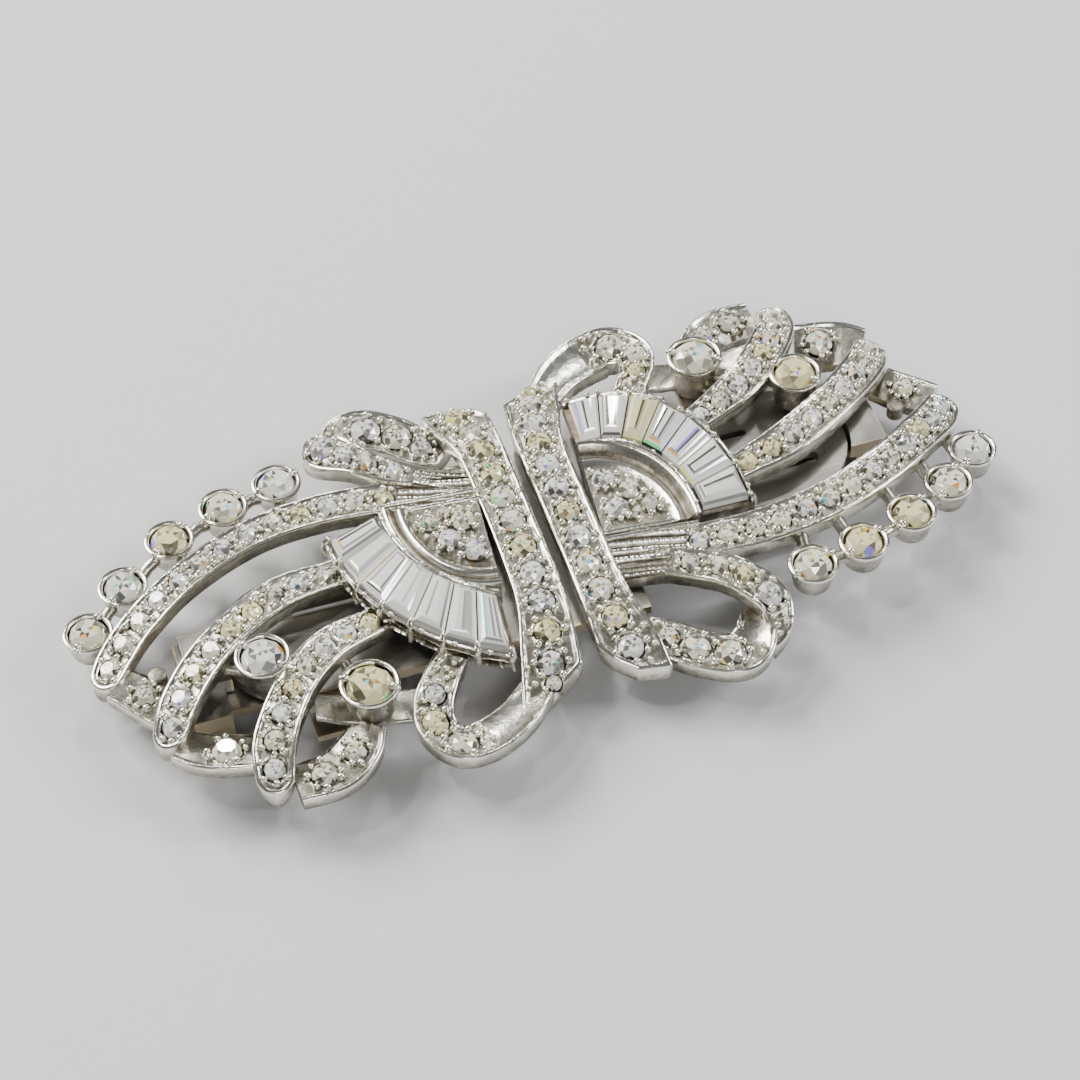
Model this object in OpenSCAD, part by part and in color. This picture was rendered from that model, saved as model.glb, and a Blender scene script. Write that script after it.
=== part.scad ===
// Double dress clip: two point-symmetric pierced clips on one sliding brooch frame.
// Millimetres. The seam between the clips is the plane x = 0, the frame lies on z = 0,
// and the left clip is the right clip turned half a turn about Z.

/* [Clip] */
// Length of one clip, from the seam to its outer tip
clip_l = 37; // [34:0.5:42]
// Width of one clip, over both loops
clip_w = 40; // [38:0.5:46]
// Height of the fan's crown above the resting plane
crown_h = 8.4; // [8:0.1:9.5]
// Gap between the two clips at the seam
seam_gap = 0.9; // [0.6:0.1:1.4]
// Thickness of the cast metal under the ribbons
cast_t = 1.6; // [1.3:0.1:1.8]

/* [Ribbons] */
// Width of the three rays
ray_w = 3.3; // [3:0.1:3.6]
// Width of the seam band
band_w = 3.9; // [3.6:0.1:4.2]
// Width of the folded ribbon and of the loop
loop_w = 3.2; // [2.9:0.1:3.5]
// Width of the scallops between the ray tips
lobe_w = 3.1; // [2.8:0.1:3.4]
// Width of the polished rim beside the stones
rim_w = 0.42; // [0.3:0.02:0.55]
// Depth of the stone channel below the rim
channel_d = 0.5; // [0.35:0.05:0.7]
// Thickness of the thin web beside the loop
web_t = 0.7; // [0.6:0.05:0.8]

/* [Stones] */
// Diameter of the pave stones
pave_d = 1.7; // [1.5:0.05:1.8]
// Diameter of the stones in the seam band
band_gem_d = 2.1; // [1.9:0.05:2.3]
// Height of the pave stones above their seat
pave_h = 0.75; // [0.6:0.05:0.9]
// Diameter of the stones in the collet chain
chain_d = 3.1; // [2.8:0.05:3.4]
// Diameter of the stone in the inner raised collet
inner_gem_d = 3.4; // [3.1:0.05:3.6]
// Diameter of the stone in the outer raised collet
outer_gem_d = 3.7; // [3.4:0.05:3.9]
// Height of a collet stone above its seat
gem_h = 1.15; // [0.9:0.05:1.4]
// Wall of a collet
bezel_t = 0.4; // [0.3:0.05:0.5]
// Number of tapered baguettes in the fan
baguettes = 7; // [5:1:9]
// Height of the inner raised collet
inner_drop = 3.1; // [2.8:0.1:3.2]
// Height of the outer raised collet
outer_drop = 3.6; // [3.2:0.1:3.8]
// Height of a baguette above its seat
baguette_h = 1.1; // [0.9:0.05:1.3]
// Gap between two baguettes
baguette_gap = 0.14; // [0.12:0.02:0.2]
// Clearance between a stone and its metal
seat_gap = 0.05; // [0.03:0.01:0.08]
// Thickness of the bars that tie the collets
bar_t = 1; // [0.8:0.1:1.1]
// Width of the bars that tie the collets
bar_w = 1.1; // [0.9:0.1:1.2]
// Foot of a collet, as a share of its rim's diameter
foot_share = 0.72; // [0.6:0.02:0.9]

/* [Fan] */
// Inner radius of the fan along the clip
fan_in_x = 7.2; // [6.8:0.1:7.5]
// Inner radius of the fan along the seam
fan_in_y = 9.6; // [9:0.1:10]
// Outer radius of the fan along the clip
fan_out_x = 12.2; // [11.6:0.1:12.8]
// Outer radius of the fan along the seam
fan_out_y = 14.8; // [14:0.1:15.4]
// Width of the polished wall between the half dome and the fan
wall_w = 0.9; // [0.7:0.05:1.1]
// Height of that wall above the half dome
wall_h = 0.8; // [0.6:0.05:1]
// Thickness of the half dome
dome_t = 1.8; // [1.6:0.1:2]
// Thickness of the fan's tray below its stones
tray_t = 1.1; // [0.9:0.1:1.3]

/* [Frame] */
// Radius of the frame's round ends
arm_r = 6; // [5.5:0.1:6.3]
// Thickness of the frame plate
frame_t = 0.8; // [0.6:0.05:0.9]
// Height of the frame plate's underside
frame_z = 3.3; // [3.1:0.05:3.5]
// Distance of the arms' centre lines from the frame's middle
arm_y = 3.5; // [3.2:0.1:3.8]
// Width of the long slot in each arm
slot_w = 1.2; // [0.9:0.1:1.5]
// Height of the folded edge beside the slot
edge_h = 0.25; // [0.15:0.05:0.3]
// Gap between the frame and what it slides past
slide_gap = 0.15; // [0.1:0.05:0.2]
// Radius of the pin stem
stem_r = 0.5; // [0.4:0.05:0.6]
// Length of the pin's joint and of its catch
catch_l = 3; // [2.6:0.1:3.4]
// Width of the pin's joint and of its catch
catch_w = 2.2; // [2:0.1:2.4]
// Width of the stamped strip beside the frame
strip_w = 3.1; // [2.8:0.1:3.3]
// Thickness of the stamped strip
strip_t = 0.6; // [0.5:0.05:0.7]

/* [Lever] */
// Width of a clip lever
lever_w = 6.2; // [5.4:0.1:6.6]
// Thickness of a clip lever
lever_t = 0.8; // [0.6:0.05:0.9]
// Height of the lever's teeth
tooth_h = 0.35; // [0.25:0.05:0.4]
// Radius of the hinge pin
hinge_r = 0.5; // [0.4:0.05:0.6]
// Running clearance round the hinge pin
hinge_gap = 0.05; // [0.03:0.01:0.08]
// Height of the hinge axis
hinge_z = 1.5; // [1.4:0.05:1.6]
// Radius of the lever's knuckle
knuckle_r = 1.2; // [1.1:0.05:1.25]
// Thickness of the hinge bracket's ears
ear_t = 0.8; // [0.7:0.05:1]
// Width of the hinge bracket's ears along the clip
ear_l = 3; // [2.8:0.1:3.2]
// Height of the hinge bracket's curved wall
wall_t = 1.4; // [1.2:0.1:1.5]
// Radius of the riveting posts
post_r = 0.7; // [0.6:0.05:0.8]

/* [Hidden] */

cast_c = "silver";
stone_c = "lightcyan";
plate_c = "darkgray";

fan_c = [0.125 * clip_l, -0.065 * clip_w];
dome_c = [0.125 * clip_l, -0.088 * clip_w];
dome_turn = -5;
fan_lip = 0.07;
// Row of a ribbon's table at the fan's outer wall, at an angle
function fan_root(a, h, w) =
    let (s = 1 - 0.6 * fan_lip)
    [
        (fan_c[0] + lerp(fan_in_x, fan_out_x, s) * cos(a)) * 100 / clip_l,
        (lerp(dome_c[1], fan_c[1], s) + lerp(fan_in_y, fan_out_y, s) * sin(a)) * 100 / clip_w,
        h, w, 0
    ];

// Ribbon paths, as shares of the clip in per cent. Columns: along the clip, across it,
// height, width, bank (how much higher the left edge is than the right one).
outer_ray = [
    [27, -15, 76, 100, 5], [43, -16, 79, 100, 8], [59.5, -14, 81, 100, 15],
    [75.5, -8, 78, 100, 20], [87, -1, 70.5, 100, 20], [94, 4.5, 58.5, 100, 24], [98.3, 10, 50, 80, 28]
];
middle_ray = [
    fan_root(11, 76.5, 80), [57, 3, 85, 100, 8], [67.5, 8, 86.5, 100, 10],
    [76.5, 14, 83, 100, 10], [84, 21, 72, 100, 20], [88.8, 28.5, 55.5, 85, 36]
];
inner_ray = [
    fan_root(35, 78, 75), [50.5, 18.5, 88, 95, 5], [58.5, 24, 89, 100, 8],
    [64.5, 30.5, 83, 100, 8], [68.5, 37, 72, 100, 5], [70.3, 45, 55.5, 80, 0]
];
seam_band = [
    [9.3, -39.8, 51, 115, 0], [7.9, -33, 65, 124, 0], [6.2, -22, 77.5, 106, 0], [6, -8, 81, 100, 0],
    [6, 8, 80.5, 100, 0], [6.5, 20, 76, 102, 0], [8.5, 31, 65, 118, 0], [11, 42, 50, 128, 0]
];
// Plan of the band's oblique ends, seen from above. Columns: along the clip, across it
band_ends = [
    [0, -31], [3.5, -35.5], [8, -38.5], [15.3, -39], [15.3, -70], [150, -70], [150, 70], [17.5, 70],
    [17.5, 42.5], [12, 40], [0, 33]
];
fold = [
    [21.6, -18.5, 79, 72, 12], [27.5, -21.5, 80.5, 84, 8], [33.5, -25.8, 83.5, 95, 0],
    [39, -31.5, 75.5, 112, -25], [39.6, -36.5, 63.5, 75, -35], [37, -41, 51, 40, -30]
];
tuck = [
    [35.5, -31, 60, 75, 0], [34.5, -36.5, 55, 105, 12], [30, -39.8, 50, 132, 12],
    [22.5, -36.5, 48.5, 125, 8], [16.5, -31, 46, 112, 3], [13, -28, 46, 85, 0]
];
loop = [
    [13.3, 36.5, 55, 95, 15], [18.5, 41, 56, 112, 25], [25, 44, 55.5, 124, 25], [31.2, 44.7, 57, 122, 25],
    [35.3, 41, 61.5, 106, 25], [35, 36, 66, 96, 22], [32, 31, 69, 88, 12], fan_root(62, 68, 80)
];
// Thin web between the loop and the inner ray, under the outer raised collet
web = [[36, 33.5, 57, 95, 0], [45, 32, 57, 88, 0], [52, 31, 62, 82, 0], [58, 30, 72, 75, 0]];
// Stones set by hand. Columns: share of the ribbon's length, diameter as a share of a pave stone
loop_gems = [[46, 142], [62, 122], [76, 94]];
fold_gems = [[14, 90], [32, 92], [48, 98], [67, 128]];
tuck_gems = [[43, 148], [65, 145], [84, 110]];
band_gems = [[93.5, 74]];
scallop_1 = [[86.2, 18.8, 50.5, 110, -5], [89.8, 14.6, 52.5, 116, -5], [94.6, 9.9, 55, 105, 0]];
scallop_2 = [
    [72, 33.5, 54, 125, 20], [77.5, 32, 54, 135, 22], [82, 30.5, 55.5, 130, 22], [86, 28, 57, 110, 20]
];
scallop_3 = [
    [48.5, 35.5, 62, 90, -5], [52, 39.8, 59, 120, -3], [57.5, 43, 56.5, 128, 0], [66, 43.5, 55.5, 118, 0]
];
lobe_gems = [[[49, 112]], [[36, 142]], [[33, 104], [72, 120]]];
// Fluted roots of the outer ray and of the fold, where they leave the band
outer_root = [[10.5, -11, 75, 105, 0], [19.5, -13, 76.5, 100, 0], [27.3, -15, 77.5, 98, 5]];
fold_root = [[11, -15.5, 70, 80, 0], [17, -17, 74, 72, 12], [22.5, -18.7, 79, 72, 25]];

// Collet chain outside the outer ray. Columns: along the clip, across it, height
chain = [[51, -27, 71], [63.5, -24.5, 69], [76.5, -20, 66.5], [88.5, -13, 56], [98, -5, 48]];
inner_collet = [65.5, 18.5, 92];
outer_collet = [46.5, 30.5, 87];

// Fan stations. Columns: angle, height at the inner edge, height at the outer edge
fan_rows = [[-3, 93, 80], [20, 99, 94], [45, 100, 97], [68, 95, 88], [85, 84, 74]];
// Half-dome stones. Columns: along the clip, across it, diameter, as shares of a pave stone
dome_rows = [[16, 4.9, 112], [16.1, -3.4, 116], [20.3, 0.6, 108], [23, -4.5, 85], [19.6, -5.9, 55]];

// Domed post beside the first scallop, and the riveting post under the middle ray. Columns: along the
// clip, across it, height of the top
stub = [86.5, 10.2, 52.5];
rivet = [76.5, 14, 70];

dome_z = 0.795 * crown_h;
hinge_x = 0.78 * clip_l;
bracket_z = frame_z + frame_t + 2 * slide_gap;
arm_x = hinge_x - ear_l / 2 - 2 * slide_gap - arm_r;
arm_c = [arm_x, arm_y];
lever_z = frame_z - slide_gap - tooth_h;
lever_y = arm_y + 1.5;
catch_x = 0.6 * clip_l;
hinge_w = lever_w + 2 * ear_t + 2 * slide_gap;

function pct(p) = [p[0] * clip_l, p[1] * clip_w, p[2] * crown_h] / 100;
function lerp(a, b, t) = a + (b - a) * t;
function unit(v) = v / norm(v);

// Row of a table at the running number u, smoothed through its neighbours
function spline(k, u) =
    let (
        n = len(k) - 1,
        i = min(floor(u), n - 1),
        t = u - i,
        b = k[i],
        c = k[i + 1],
        a = i > 0 ? k[i - 1] : 2 * b - c,
        d = i + 2 <= n ? k[i + 2] : 2 * c - b
    )
    b + ((c - a) * t + (2 * a - 5 * b + 4 * c - d) * t * t + (3 * b - a - 3 * c + d) * t * t * t) / 2;

// Stations of a path: [point, left vector, half width]
function stations(k, w, steps) = [
    for (j = [0 : (len(k) - 1) * steps])
        station(k, w, j / steps)
];
function station(k, w, u) =
    let (
        n = len(k) - 1,
        p = pct(spline(k, u)),
        q = pct(spline(k, min(u + 0.05, n))) - pct(spline(k, max(u - 0.05, 0))),
        t = unit(q),
        flat = unit([-t[1], t[0], 0]),
        r = spline(k, u),
        h = w * r[3] / 200
    )
    [p, unit([flat[0], flat[1], r[4] / 100]), h, t];

// Running length of a station list, and the running number at a given length
function sums(v, i = 0, s = 0) = i == len(v) ? [s] : concat([s], sums(v, i + 1, s + v[i]));
function lengths(k, w) =
    let (s = stations(k, w, 6))
    sums([for (i = [1 : len(s) - 1]) norm(s[i][0] - s[i - 1][0])]);
function at_length(k, c, s) =
    let (i = max([for (j = [0 : len(c) - 2]) c[j] <= s ? j : 0]))
    (i + (s - c[i]) / (c[i + 1] - c[i])) / 6;

// Sweep of a section along a path. The section's columns: share of the half width, height
module sweep(k, w, section, steps = 2) {
    s = stations(k, w, steps);
    m = len(section);
    points = [
        for (a = s, p = section)
            a[0] + a[1] * p[0] * a[2] + [0, 0, p[1]]
    ];
    faces = concat(
        [[for (i = [0 : m - 1]) i]],
        [[for (i = [m - 1 : -1 : 0]) (len(s) - 1) * m + i]],
        [for (j = [0 : len(s) - 2], i = [0 : m - 1])
            [j * m + i, (j + 1) * m + i, (j + 1) * m + (i + 1) % m, j * m + (i + 1) % m]]
    );
    polyhedron(points, faces, convexity = 8);
}

// Solid end of a ribbon between two running numbers of its path
module plug(k, w, u0, u1) {
    s = [station(k, w, u0), station(k, w, u1)];
    rows = [[-1, -cast_t], [1, -cast_t], [1, 0], [-1, 0]];
    points = [
        for (a = s, p = rows)
            a[0] + a[1] * p[0] * a[2] + [0, 0, p[1]]
    ];
    faces = [[0, 1, 2, 3], [7, 6, 5, 4], [0, 4, 5, 1], [1, 5, 6, 2], [2, 6, 7, 3], [3, 7, 4, 0]];
    polyhedron(points, faces);
}

// Channel section with a rim on both edges
function channel(w) =
    let (r = 1 - 2 * rim_w / w)
    [[-1, -cast_t], [1, -cast_t], [1, 0], [r, 0], [r, -channel_d], [-r, -channel_d], [-r, 0], [-1, 0]];
// Channel section with a rim on the outer edge alone
function lobe(w) =
    let (r = 1 - 2 * rim_w / w)
    [[-1, -cast_t * 0.9], [1, -cast_t * 0.9], [1, 0], [r, 0], [r, -channel_d], [-1, -channel_d]];
// Flat section of the thin web
strap = [[-1, -web_t], [1, -web_t], [1, 0], [-1, 0]];
// Fluted section with four ridges
flutes = [
    [-1, -cast_t], [1, -cast_t], [1, -0.25], [0.75, 0.1], [0.5, -0.25], [0.25, 0.1], [0, -0.25],
    [-0.25, 0.1], [-0.5, -0.25], [-0.75, 0.1], [-1, -0.25]
];

// Faceted stone: a ring at the seat, a ring at the girdle and the table.
// Seat is [point, left vector, forward vector]
function gem_points(seat, d, h, n) =
    let (
        up = unit(cross(seat[2], seat[1])),
        left = unit(seat[1]),
        ahead = cross(left, up),
        rows = [[0.5, 0], [0.5, 0.3], [0.31, 1]]
    )
    [
        for (r = rows, i = [0 : n - 1])
            let (a = (i + 0.5) * 360 / n)
            seat[0] + up * r[1] * h + (ahead * cos(a) + left * sin(a)) * r[0] * d
    ];
function pave_points(seat, d, h, n) =
    let (p = gem_points(seat, d, h, n))
    concat([for (i = [0 : n - 1]) p[i]], [for (i = [2 * n : 3 * n - 1]) p[i]]);
function gem_faces(rings, n, base) = concat(
    [[for (i = [0 : n - 1]) base + i]],
    [[for (i = [n - 1 : -1 : 0]) base + (rings - 1) * n + i]],
    [for (r = [0 : rings - 2], i = [0 : n - 1])
        let (a = base + r * n, b = base + (r + 1) * n, j = (i + 1) % n)
        [a + i, b + i, b + j, a + j]]
);

// A field of pave stones. Seats are [point, left vector, forward vector, diameter]
module pave(seats) {
    n = 8;
    points = [for (s = seats) each pave_points(s, s[3], pave_h, n)];
    faces = [for (i = [0 : len(seats) - 1]) each gem_faces(2, n, i * 2 * n)];
    polyhedron(points, faces, convexity = 4);
}

// Seats along a ribbon: count stones of one diameter between two margins, no wider than the channel
function row_seats(k, w, d, count, first, last) =
    let (
        c = lengths(k, w),
        total = c[len(c) - 1],
        step = (total - first - last) / max(count - 1, 1)
    )
    [
        for (i = [0 : count - 1])
            let (
                s = station(k, w, at_length(k, c, first + i * step)),
                up = unit(cross(s[3], s[1])),
                room = 2 * (s[2] - rim_w) - 3 * seat_gap
            )
            [s[0] + up * (2 * seat_gap - channel_d), s[1], s[3], min(d, room)]
    ];

// Seats of the stones that a table places along a ribbon
function gem_seats(k, w, gems) =
    let (c = lengths(k, w))
    [
        for (g = gems)
            let (
                s = station(k, w, at_length(k, c, g[0] / 100 * c[len(c) - 1])),
                up = unit(cross(s[3], s[1])),
                room = 2 * (s[2] - rim_w) - 3 * seat_gap
            )
            [s[0] + up * (4 * seat_gap - channel_d), s[1], s[3], min(g[1] * pave_d / 100, room)]
    ];

module collet(p, d, drop) {
    seat = gem_h * 0.62;
    r = d / 2 + seat_gap + bezel_t;
    translate([p[0], p[1], p[2] - drop])
        difference() {
            cylinder(h = drop, r1 = foot_share * r, r2 = r, $fn = 16);
            translate([0, 0, drop - seat])
                cylinder(h = seat + 1, r = d / 2 + seat_gap, $fn = 16);
        }
}

module collet_stone(p, d) {
    n = 12;
    seat = [p - [0, 0, gem_h * 0.62 - seat_gap], [0, 1, 0], [1, 0, 0]];
    polyhedron(gem_points(seat, d, gem_h, n), gem_faces(3, n, 0), convexity = 4);
}

// Bar between two points of the casting, each given at the bar's underside
module link(a, b, r) {
    hull() {
        translate(a)
            cylinder(h = bar_t, r = r, $fn = 6);
        translate(b)
            cylinder(h = bar_t, r = r, $fn = 6);
    }
}

// Point of the fan: angle, share from the inner to the outer edge, height above the station
function fan_row(a) =
    let (i = max([for (j = [0 : len(fan_rows) - 2]) fan_rows[j][0] <= a ? j : 0]))
    spline(fan_rows, i + (a - fan_rows[i][0]) / (fan_rows[i + 1][0] - fan_rows[i][0]));
function fan_point(a, s, dz) =
    let (r = fan_row(a))
    [
        fan_c[0] + lerp(fan_in_x, fan_out_x, s) * cos(a),
        lerp(dome_c[1], fan_c[1], s) + lerp(fan_in_y, fan_out_y, s) * sin(a),
        lerp(r[1], r[2], s) * crown_h / 100 - baguette_h + dz
    ];

module fan_tray() {
    lip = fan_lip;
    low = -tray_t;
    top = 0.4 * baguette_h;
    rows = [[0, low], [1, low], [1, top], [1 - lip, top], [1 - lip, 0], [lip, 0], [lip, top], [0, top]];
    m = len(rows);
    a0 = fan_rows[0][0];
    a1 = fan_rows[len(fan_rows) - 1][0];
    n = 14;
    points = [for (j = [0 : n], r = rows) fan_point(lerp(a0, a1, j / n), r[0], r[1])];
    faces = concat(
        [[for (i = [m - 1 : -1 : 0]) i]],
        [[for (i = [0 : m - 1]) n * m + i]],
        [for (j = [0 : n - 1], i = [0 : m - 1])
            [j * m + i, j * m + (i + 1) % m, (j + 1) * m + (i + 1) % m, (j + 1) * m + i]]
    );
    polyhedron(points, faces, convexity = 8);
}

// Tapered step-cut stones: a ring at the seat, one at the girdle, one step and the table
module fan_stones() {
    lip = fan_lip;
    a0 = fan_rows[0][0] + 1.5;
    a1 = fan_rows[len(fan_rows) - 1][0] - 1.5;
    step = (a1 - a0) / baguettes;
    rings = [[0, 2 * seat_gap], [0, 0.55 * baguette_h], [0.15, 0.85 * baguette_h], [0.3, baguette_h]];
    clear = 0.025;
    points = [
        for (i = [0 : baguettes - 1], r = rings, c = [[0, 0], [1, 0], [1, 1], [0, 1]])
            let (
                s = lerp(lip + clear + r[0] / 4, 1 - lip - clear - r[0] / 4, c[0]),
                half = baguette_gap / lerp(fan_in_y, fan_out_y, s) * 28.6,
                t = lerp(half + r[0] * step, step - half - r[0] * step, c[1])
            )
            fan_point(a0 + i * step + t, s, r[1])
    ];
    n = len(rings);
    faces = [for (i = [0 : baguettes - 1]) each gem_faces(n, 4, i * 4 * n)];
    polyhedron(points, faces, convexity = 4);
}

// Quarter ellipse with a straight side of its own on the root's side
module quarter(rx, ry, back, low) {
    n = 9;
    polygon(concat([[-back, -low]], [[rx, -low]],
        [for (i = [0 : n]) [rx * cos(i * 90 / n), ry * sin(i * 90 / n)]], [[-back, ry]]));
}

// Pad under the half dome, and the polished wall round it
module half_dome() {
    rx = fan_in_x - wall_w;
    ry = fan_in_y - wall_w;
    translate([dome_c[0], dome_c[1], dome_z - dome_t])
        rotate([0, 0, dome_turn]) {
            linear_extrude(height = dome_t)
                quarter(rx + wall_w / 2, ry + wall_w / 2, 0.7 * wall_w, rim_w);
            difference() {
                linear_extrude(height = dome_t + wall_h)
                    quarter(rx + wall_w, ry + wall_w, 0, rim_w);
                translate([0, 0, dome_t])
                    linear_extrude(height = 2 * wall_h)
                        quarter(rx, ry, 2 * wall_w, 2 * wall_w);
            }
            translate([-0.6 * wall_w, -1.6 * rim_w, 0])
                cube([rx + 1.1 * wall_w, rim_w, dome_t + wall_h / 2]);
        }
}

module clip_casting() {
    color(cast_c)
        intersection() {
            union() {
                sweep(seam_band, band_w, channel(band_w));
                sweep(outer_ray, ray_w, channel(ray_w));
                sweep(middle_ray, ray_w, channel(ray_w));
                sweep(inner_ray, ray_w, channel(ray_w));
                plug(outer_ray, ray_w, 5.86, 6);
                plug(middle_ray, ray_w, 4.85, 5);
                plug(inner_ray, ray_w, 4.85, 5);
                plug(seam_band, band_w, 0, 0.35);
                plug(seam_band, band_w, 6.7, 7);
                sweep(outer_root, ray_w, flutes);
                sweep(fold_root, loop_w, flutes);
                sweep(fold, loop_w, channel(loop_w));
                sweep(tuck, loop_w, channel(loop_w));
                sweep(loop, loop_w, channel(loop_w), 3);
                sweep(web, loop_w, strap);
                sweep(scallop_1, lobe_w, lobe(lobe_w));
                sweep(scallop_2, lobe_w, lobe(lobe_w));
                sweep(scallop_3, lobe_w, lobe(lobe_w));
                half_dome();
                fan_tray();
                for (c = chain)
                    collet(pct(c), chain_d, 2.3);
                collet(pct(inner_collet), inner_gem_d, inner_drop);
                collet(pct(outer_collet), outer_gem_d, outer_drop);
                chain_links();
                collet_feet();
                post(pct(stub), frame_z);
                post(pct(rivet), bracket_z + seat_gap);
            }
            translate([seam_gap / 2, 0, 0])
                linear_extrude(height = crown_h * 2)
                    polygon([for (p = band_ends) [p[0] * clip_l, p[1] * clip_w] / 100]);
        }
}

// Round post from its foot to its domed head
module post(p, foot) {
    translate([p[0], p[1], foot])
        cylinder(h = p[2] - foot, r = post_r, $fn = 8);
    translate([p[0], p[1], p[2]])
        cylinder(h = post_r / 3, r1 = post_r, r2 = post_r / 2, $fn = 8);
}

// Each chain collet is tied to the outer ray and to the next collet
module chain_links() {
    low = [0, 0, bar_t + 0.8];
    reach = chain_d / 2 + seat_gap + bezel_t;
    for (i = [0 : len(chain) - 1]) {
        p = pct(chain[i]);
        near = [for (s = stations(outer_ray, ray_w, 4)) s[0] - s[1] * s[2] * 0.85];
        gaps = [for (q = near) norm([q[0] - p[0], q[1] - p[1]])];
        q = near[search(min(gaps), gaps)[0]];
        v = unit([q[0] - p[0], q[1] - p[1], 0]);
        link(p + v * reach - low, q - [0, 0, cast_t + seat_gap], bar_w / 2);
        if (i > 0) {
            b = pct(chain[i - 1]);
            u = unit([b[0] - p[0], b[1] - p[1], 0]);
            link(p + u * reach - low, b - u * reach - low, bar_w / 2);
        }
    }
}

// Bars that tie the raised collets to the rays and the last scallop
module collet_feet() {
    a = pct(inner_collet);
    b = pct(outer_collet);
    low = [0, 0, cast_t + 0.1];
    link([a[0], a[1], a[2] - inner_drop + 0.1], pct(inner_ray[2]) - low, post_r);
    link([a[0], a[1], a[2] - inner_drop + 0.1], pct(middle_ray[3]) - low, post_r);
    link([b[0], b[1], b[2] - outer_drop + 0.1], pct(scallop_3[0]) - [0, 0, cast_t - 0.1], post_r);
    link([b[0], b[1], b[2] - outer_drop + 0.1], pct(inner_ray[1]) - low, post_r);
}

module slot(x0, x1, y, w) {
    translate([x0, y - w / 2])
        square([x1 - x0, w]);
    for (x = [x0, x1])
        translate([x, y])
            circle(d = w, $fn = 24);
}

// One arm of the frame in plan, from the middle to its round end
module arm() {
    translate(arm_c)
        circle(r = arm_r, $fn = 64);
    translate([-arm_r, arm_y - arm_r])
        square([arm_x + arm_r, 2 * arm_r]);
}

module brooch_frame() {
    color(plate_c) {
        translate([0, 0, frame_z])
            linear_extrude(height = frame_t)
                difference() {
                    for (s = [0, 180])
                        rotate(s)
                            arm();
                    for (s = [0, 180])
                        rotate(s) {
                            slot(arm_x / 2, arm_x + 0.4 * arm_r, arm_y - 0.38 * arm_r, slot_w);
                            slot(arm_x / 2, arm_x - arm_r / 3, arm_y + arm_r / 3, slot_w / 2);
                        }
                }
        for (s = [0, 180])
            rotate(s)
                translate([arm_x / 2, arm_y - 0.4, frame_z + frame_t / 2])
                    cube([arm_x / 2 + arm_r / 3, 0.35, frame_t / 2 + edge_h]);
    }
}

// Pin stem with its joint and catch, under the middle of the frame
module brooch_pin() {
    color(plate_c) {
        for (x = [-catch_x, catch_x])
            translate([x - catch_l / 2, -catch_w / 2, 0])
                cube([catch_l, catch_w, frame_z - seat_gap]);
        translate([-catch_x, 0, hinge_z])
            rotate([0, 90, 0])
                cylinder(h = 2 * catch_x, r = stem_r, $fn = 24);
    }
}

// Stamped bracket riveted under the casting: two ears, the web that joins them over the lever
// and a wall that curves round the frame's end
module hinge_bracket() {
    w = hinge_w;
    color(plate_c)
        difference() {
            union() {
                translate([hinge_x - ear_l / 2, lever_y - w / 2, 0])
                    cube([ear_l, w, frame_z + 2 * slide_gap]);
                intersection() {
                    translate([arm_x, arm_y, bracket_z - wall_t])
                        cylinder(h = wall_t, r = arm_r + 2 * slide_gap + ear_l, $fn = 96);
                    translate([arm_x, lever_y - w / 2, 0])
                        cube([hinge_x - arm_x + ear_l / 3, 2 * w / 3, bracket_z]);
                }
            }
            translate([arm_x, arm_y, lever_z])
                cylinder(h = bracket_z, r = arm_r + 2 * slide_gap, $fn = 96);
            translate([0, lever_y - w / 2 + ear_t, -bracket_z])
                cube([2 * clip_l, w - 2 * ear_t, lever_z + slide_gap + bracket_z]);
            translate([hinge_x, lever_y + w, hinge_z])
                rotate([90, 0, 0])
                    cylinder(h = 2 * w, r = hinge_r + seat_gap, $fn = 32);
        }
}

module hinge_pin() {
    w = hinge_w;
    color(plate_c)
        translate([hinge_x, lever_y + w / 2, hinge_z])
            rotate([90, 0, 0])
                cylinder(h = w, r = hinge_r, $fn = 32);
}

// Spring lever: a plate with a knuckle at its hinge and teeth at its free end
module clip_lever() {
    x0 = 0.19 * clip_l;
    tooth_w = lever_w / 8;
    color(plate_c)
        difference() {
            union() {
                translate([x0, lever_y - lever_w / 2, lever_z - lever_t])
                    cube([hinge_x - x0, lever_w, lever_t]);
                translate([hinge_x, lever_y + lever_w / 2, hinge_z])
                    rotate([90, 0, 0])
                        cylinder(h = lever_w, r = knuckle_r, $fn = 32);
                for (i = [0 : 3])
                    translate([x0, lever_y - lever_w / 2 + (2 * i + 0.5) * tooth_w, lever_z - lever_t])
                        cube([tooth_w, tooth_w, lever_t + tooth_h]);
            }
            translate([hinge_x, lever_y + lever_w, hinge_z])
                rotate([90, 0, 0])
                    cylinder(h = 2 * lever_w, r = hinge_r + hinge_gap, $fn = 32);
        }
}

// Stamped strip under the outer raised collet, beside the frame's edge
module guide_strip() {
    b = pct(outer_collet);
    x1 = arm_x + 0.7;
    y0 = arm_y + arm_r + 4 * slide_gap;
    color(plate_c)
        translate([b[0] - strip_w / 2, y0, b[2] - outer_drop - seat_gap - strip_t])
            cube([x1 - b[0] + strip_w / 2, strip_w, strip_t]);
}

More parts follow.
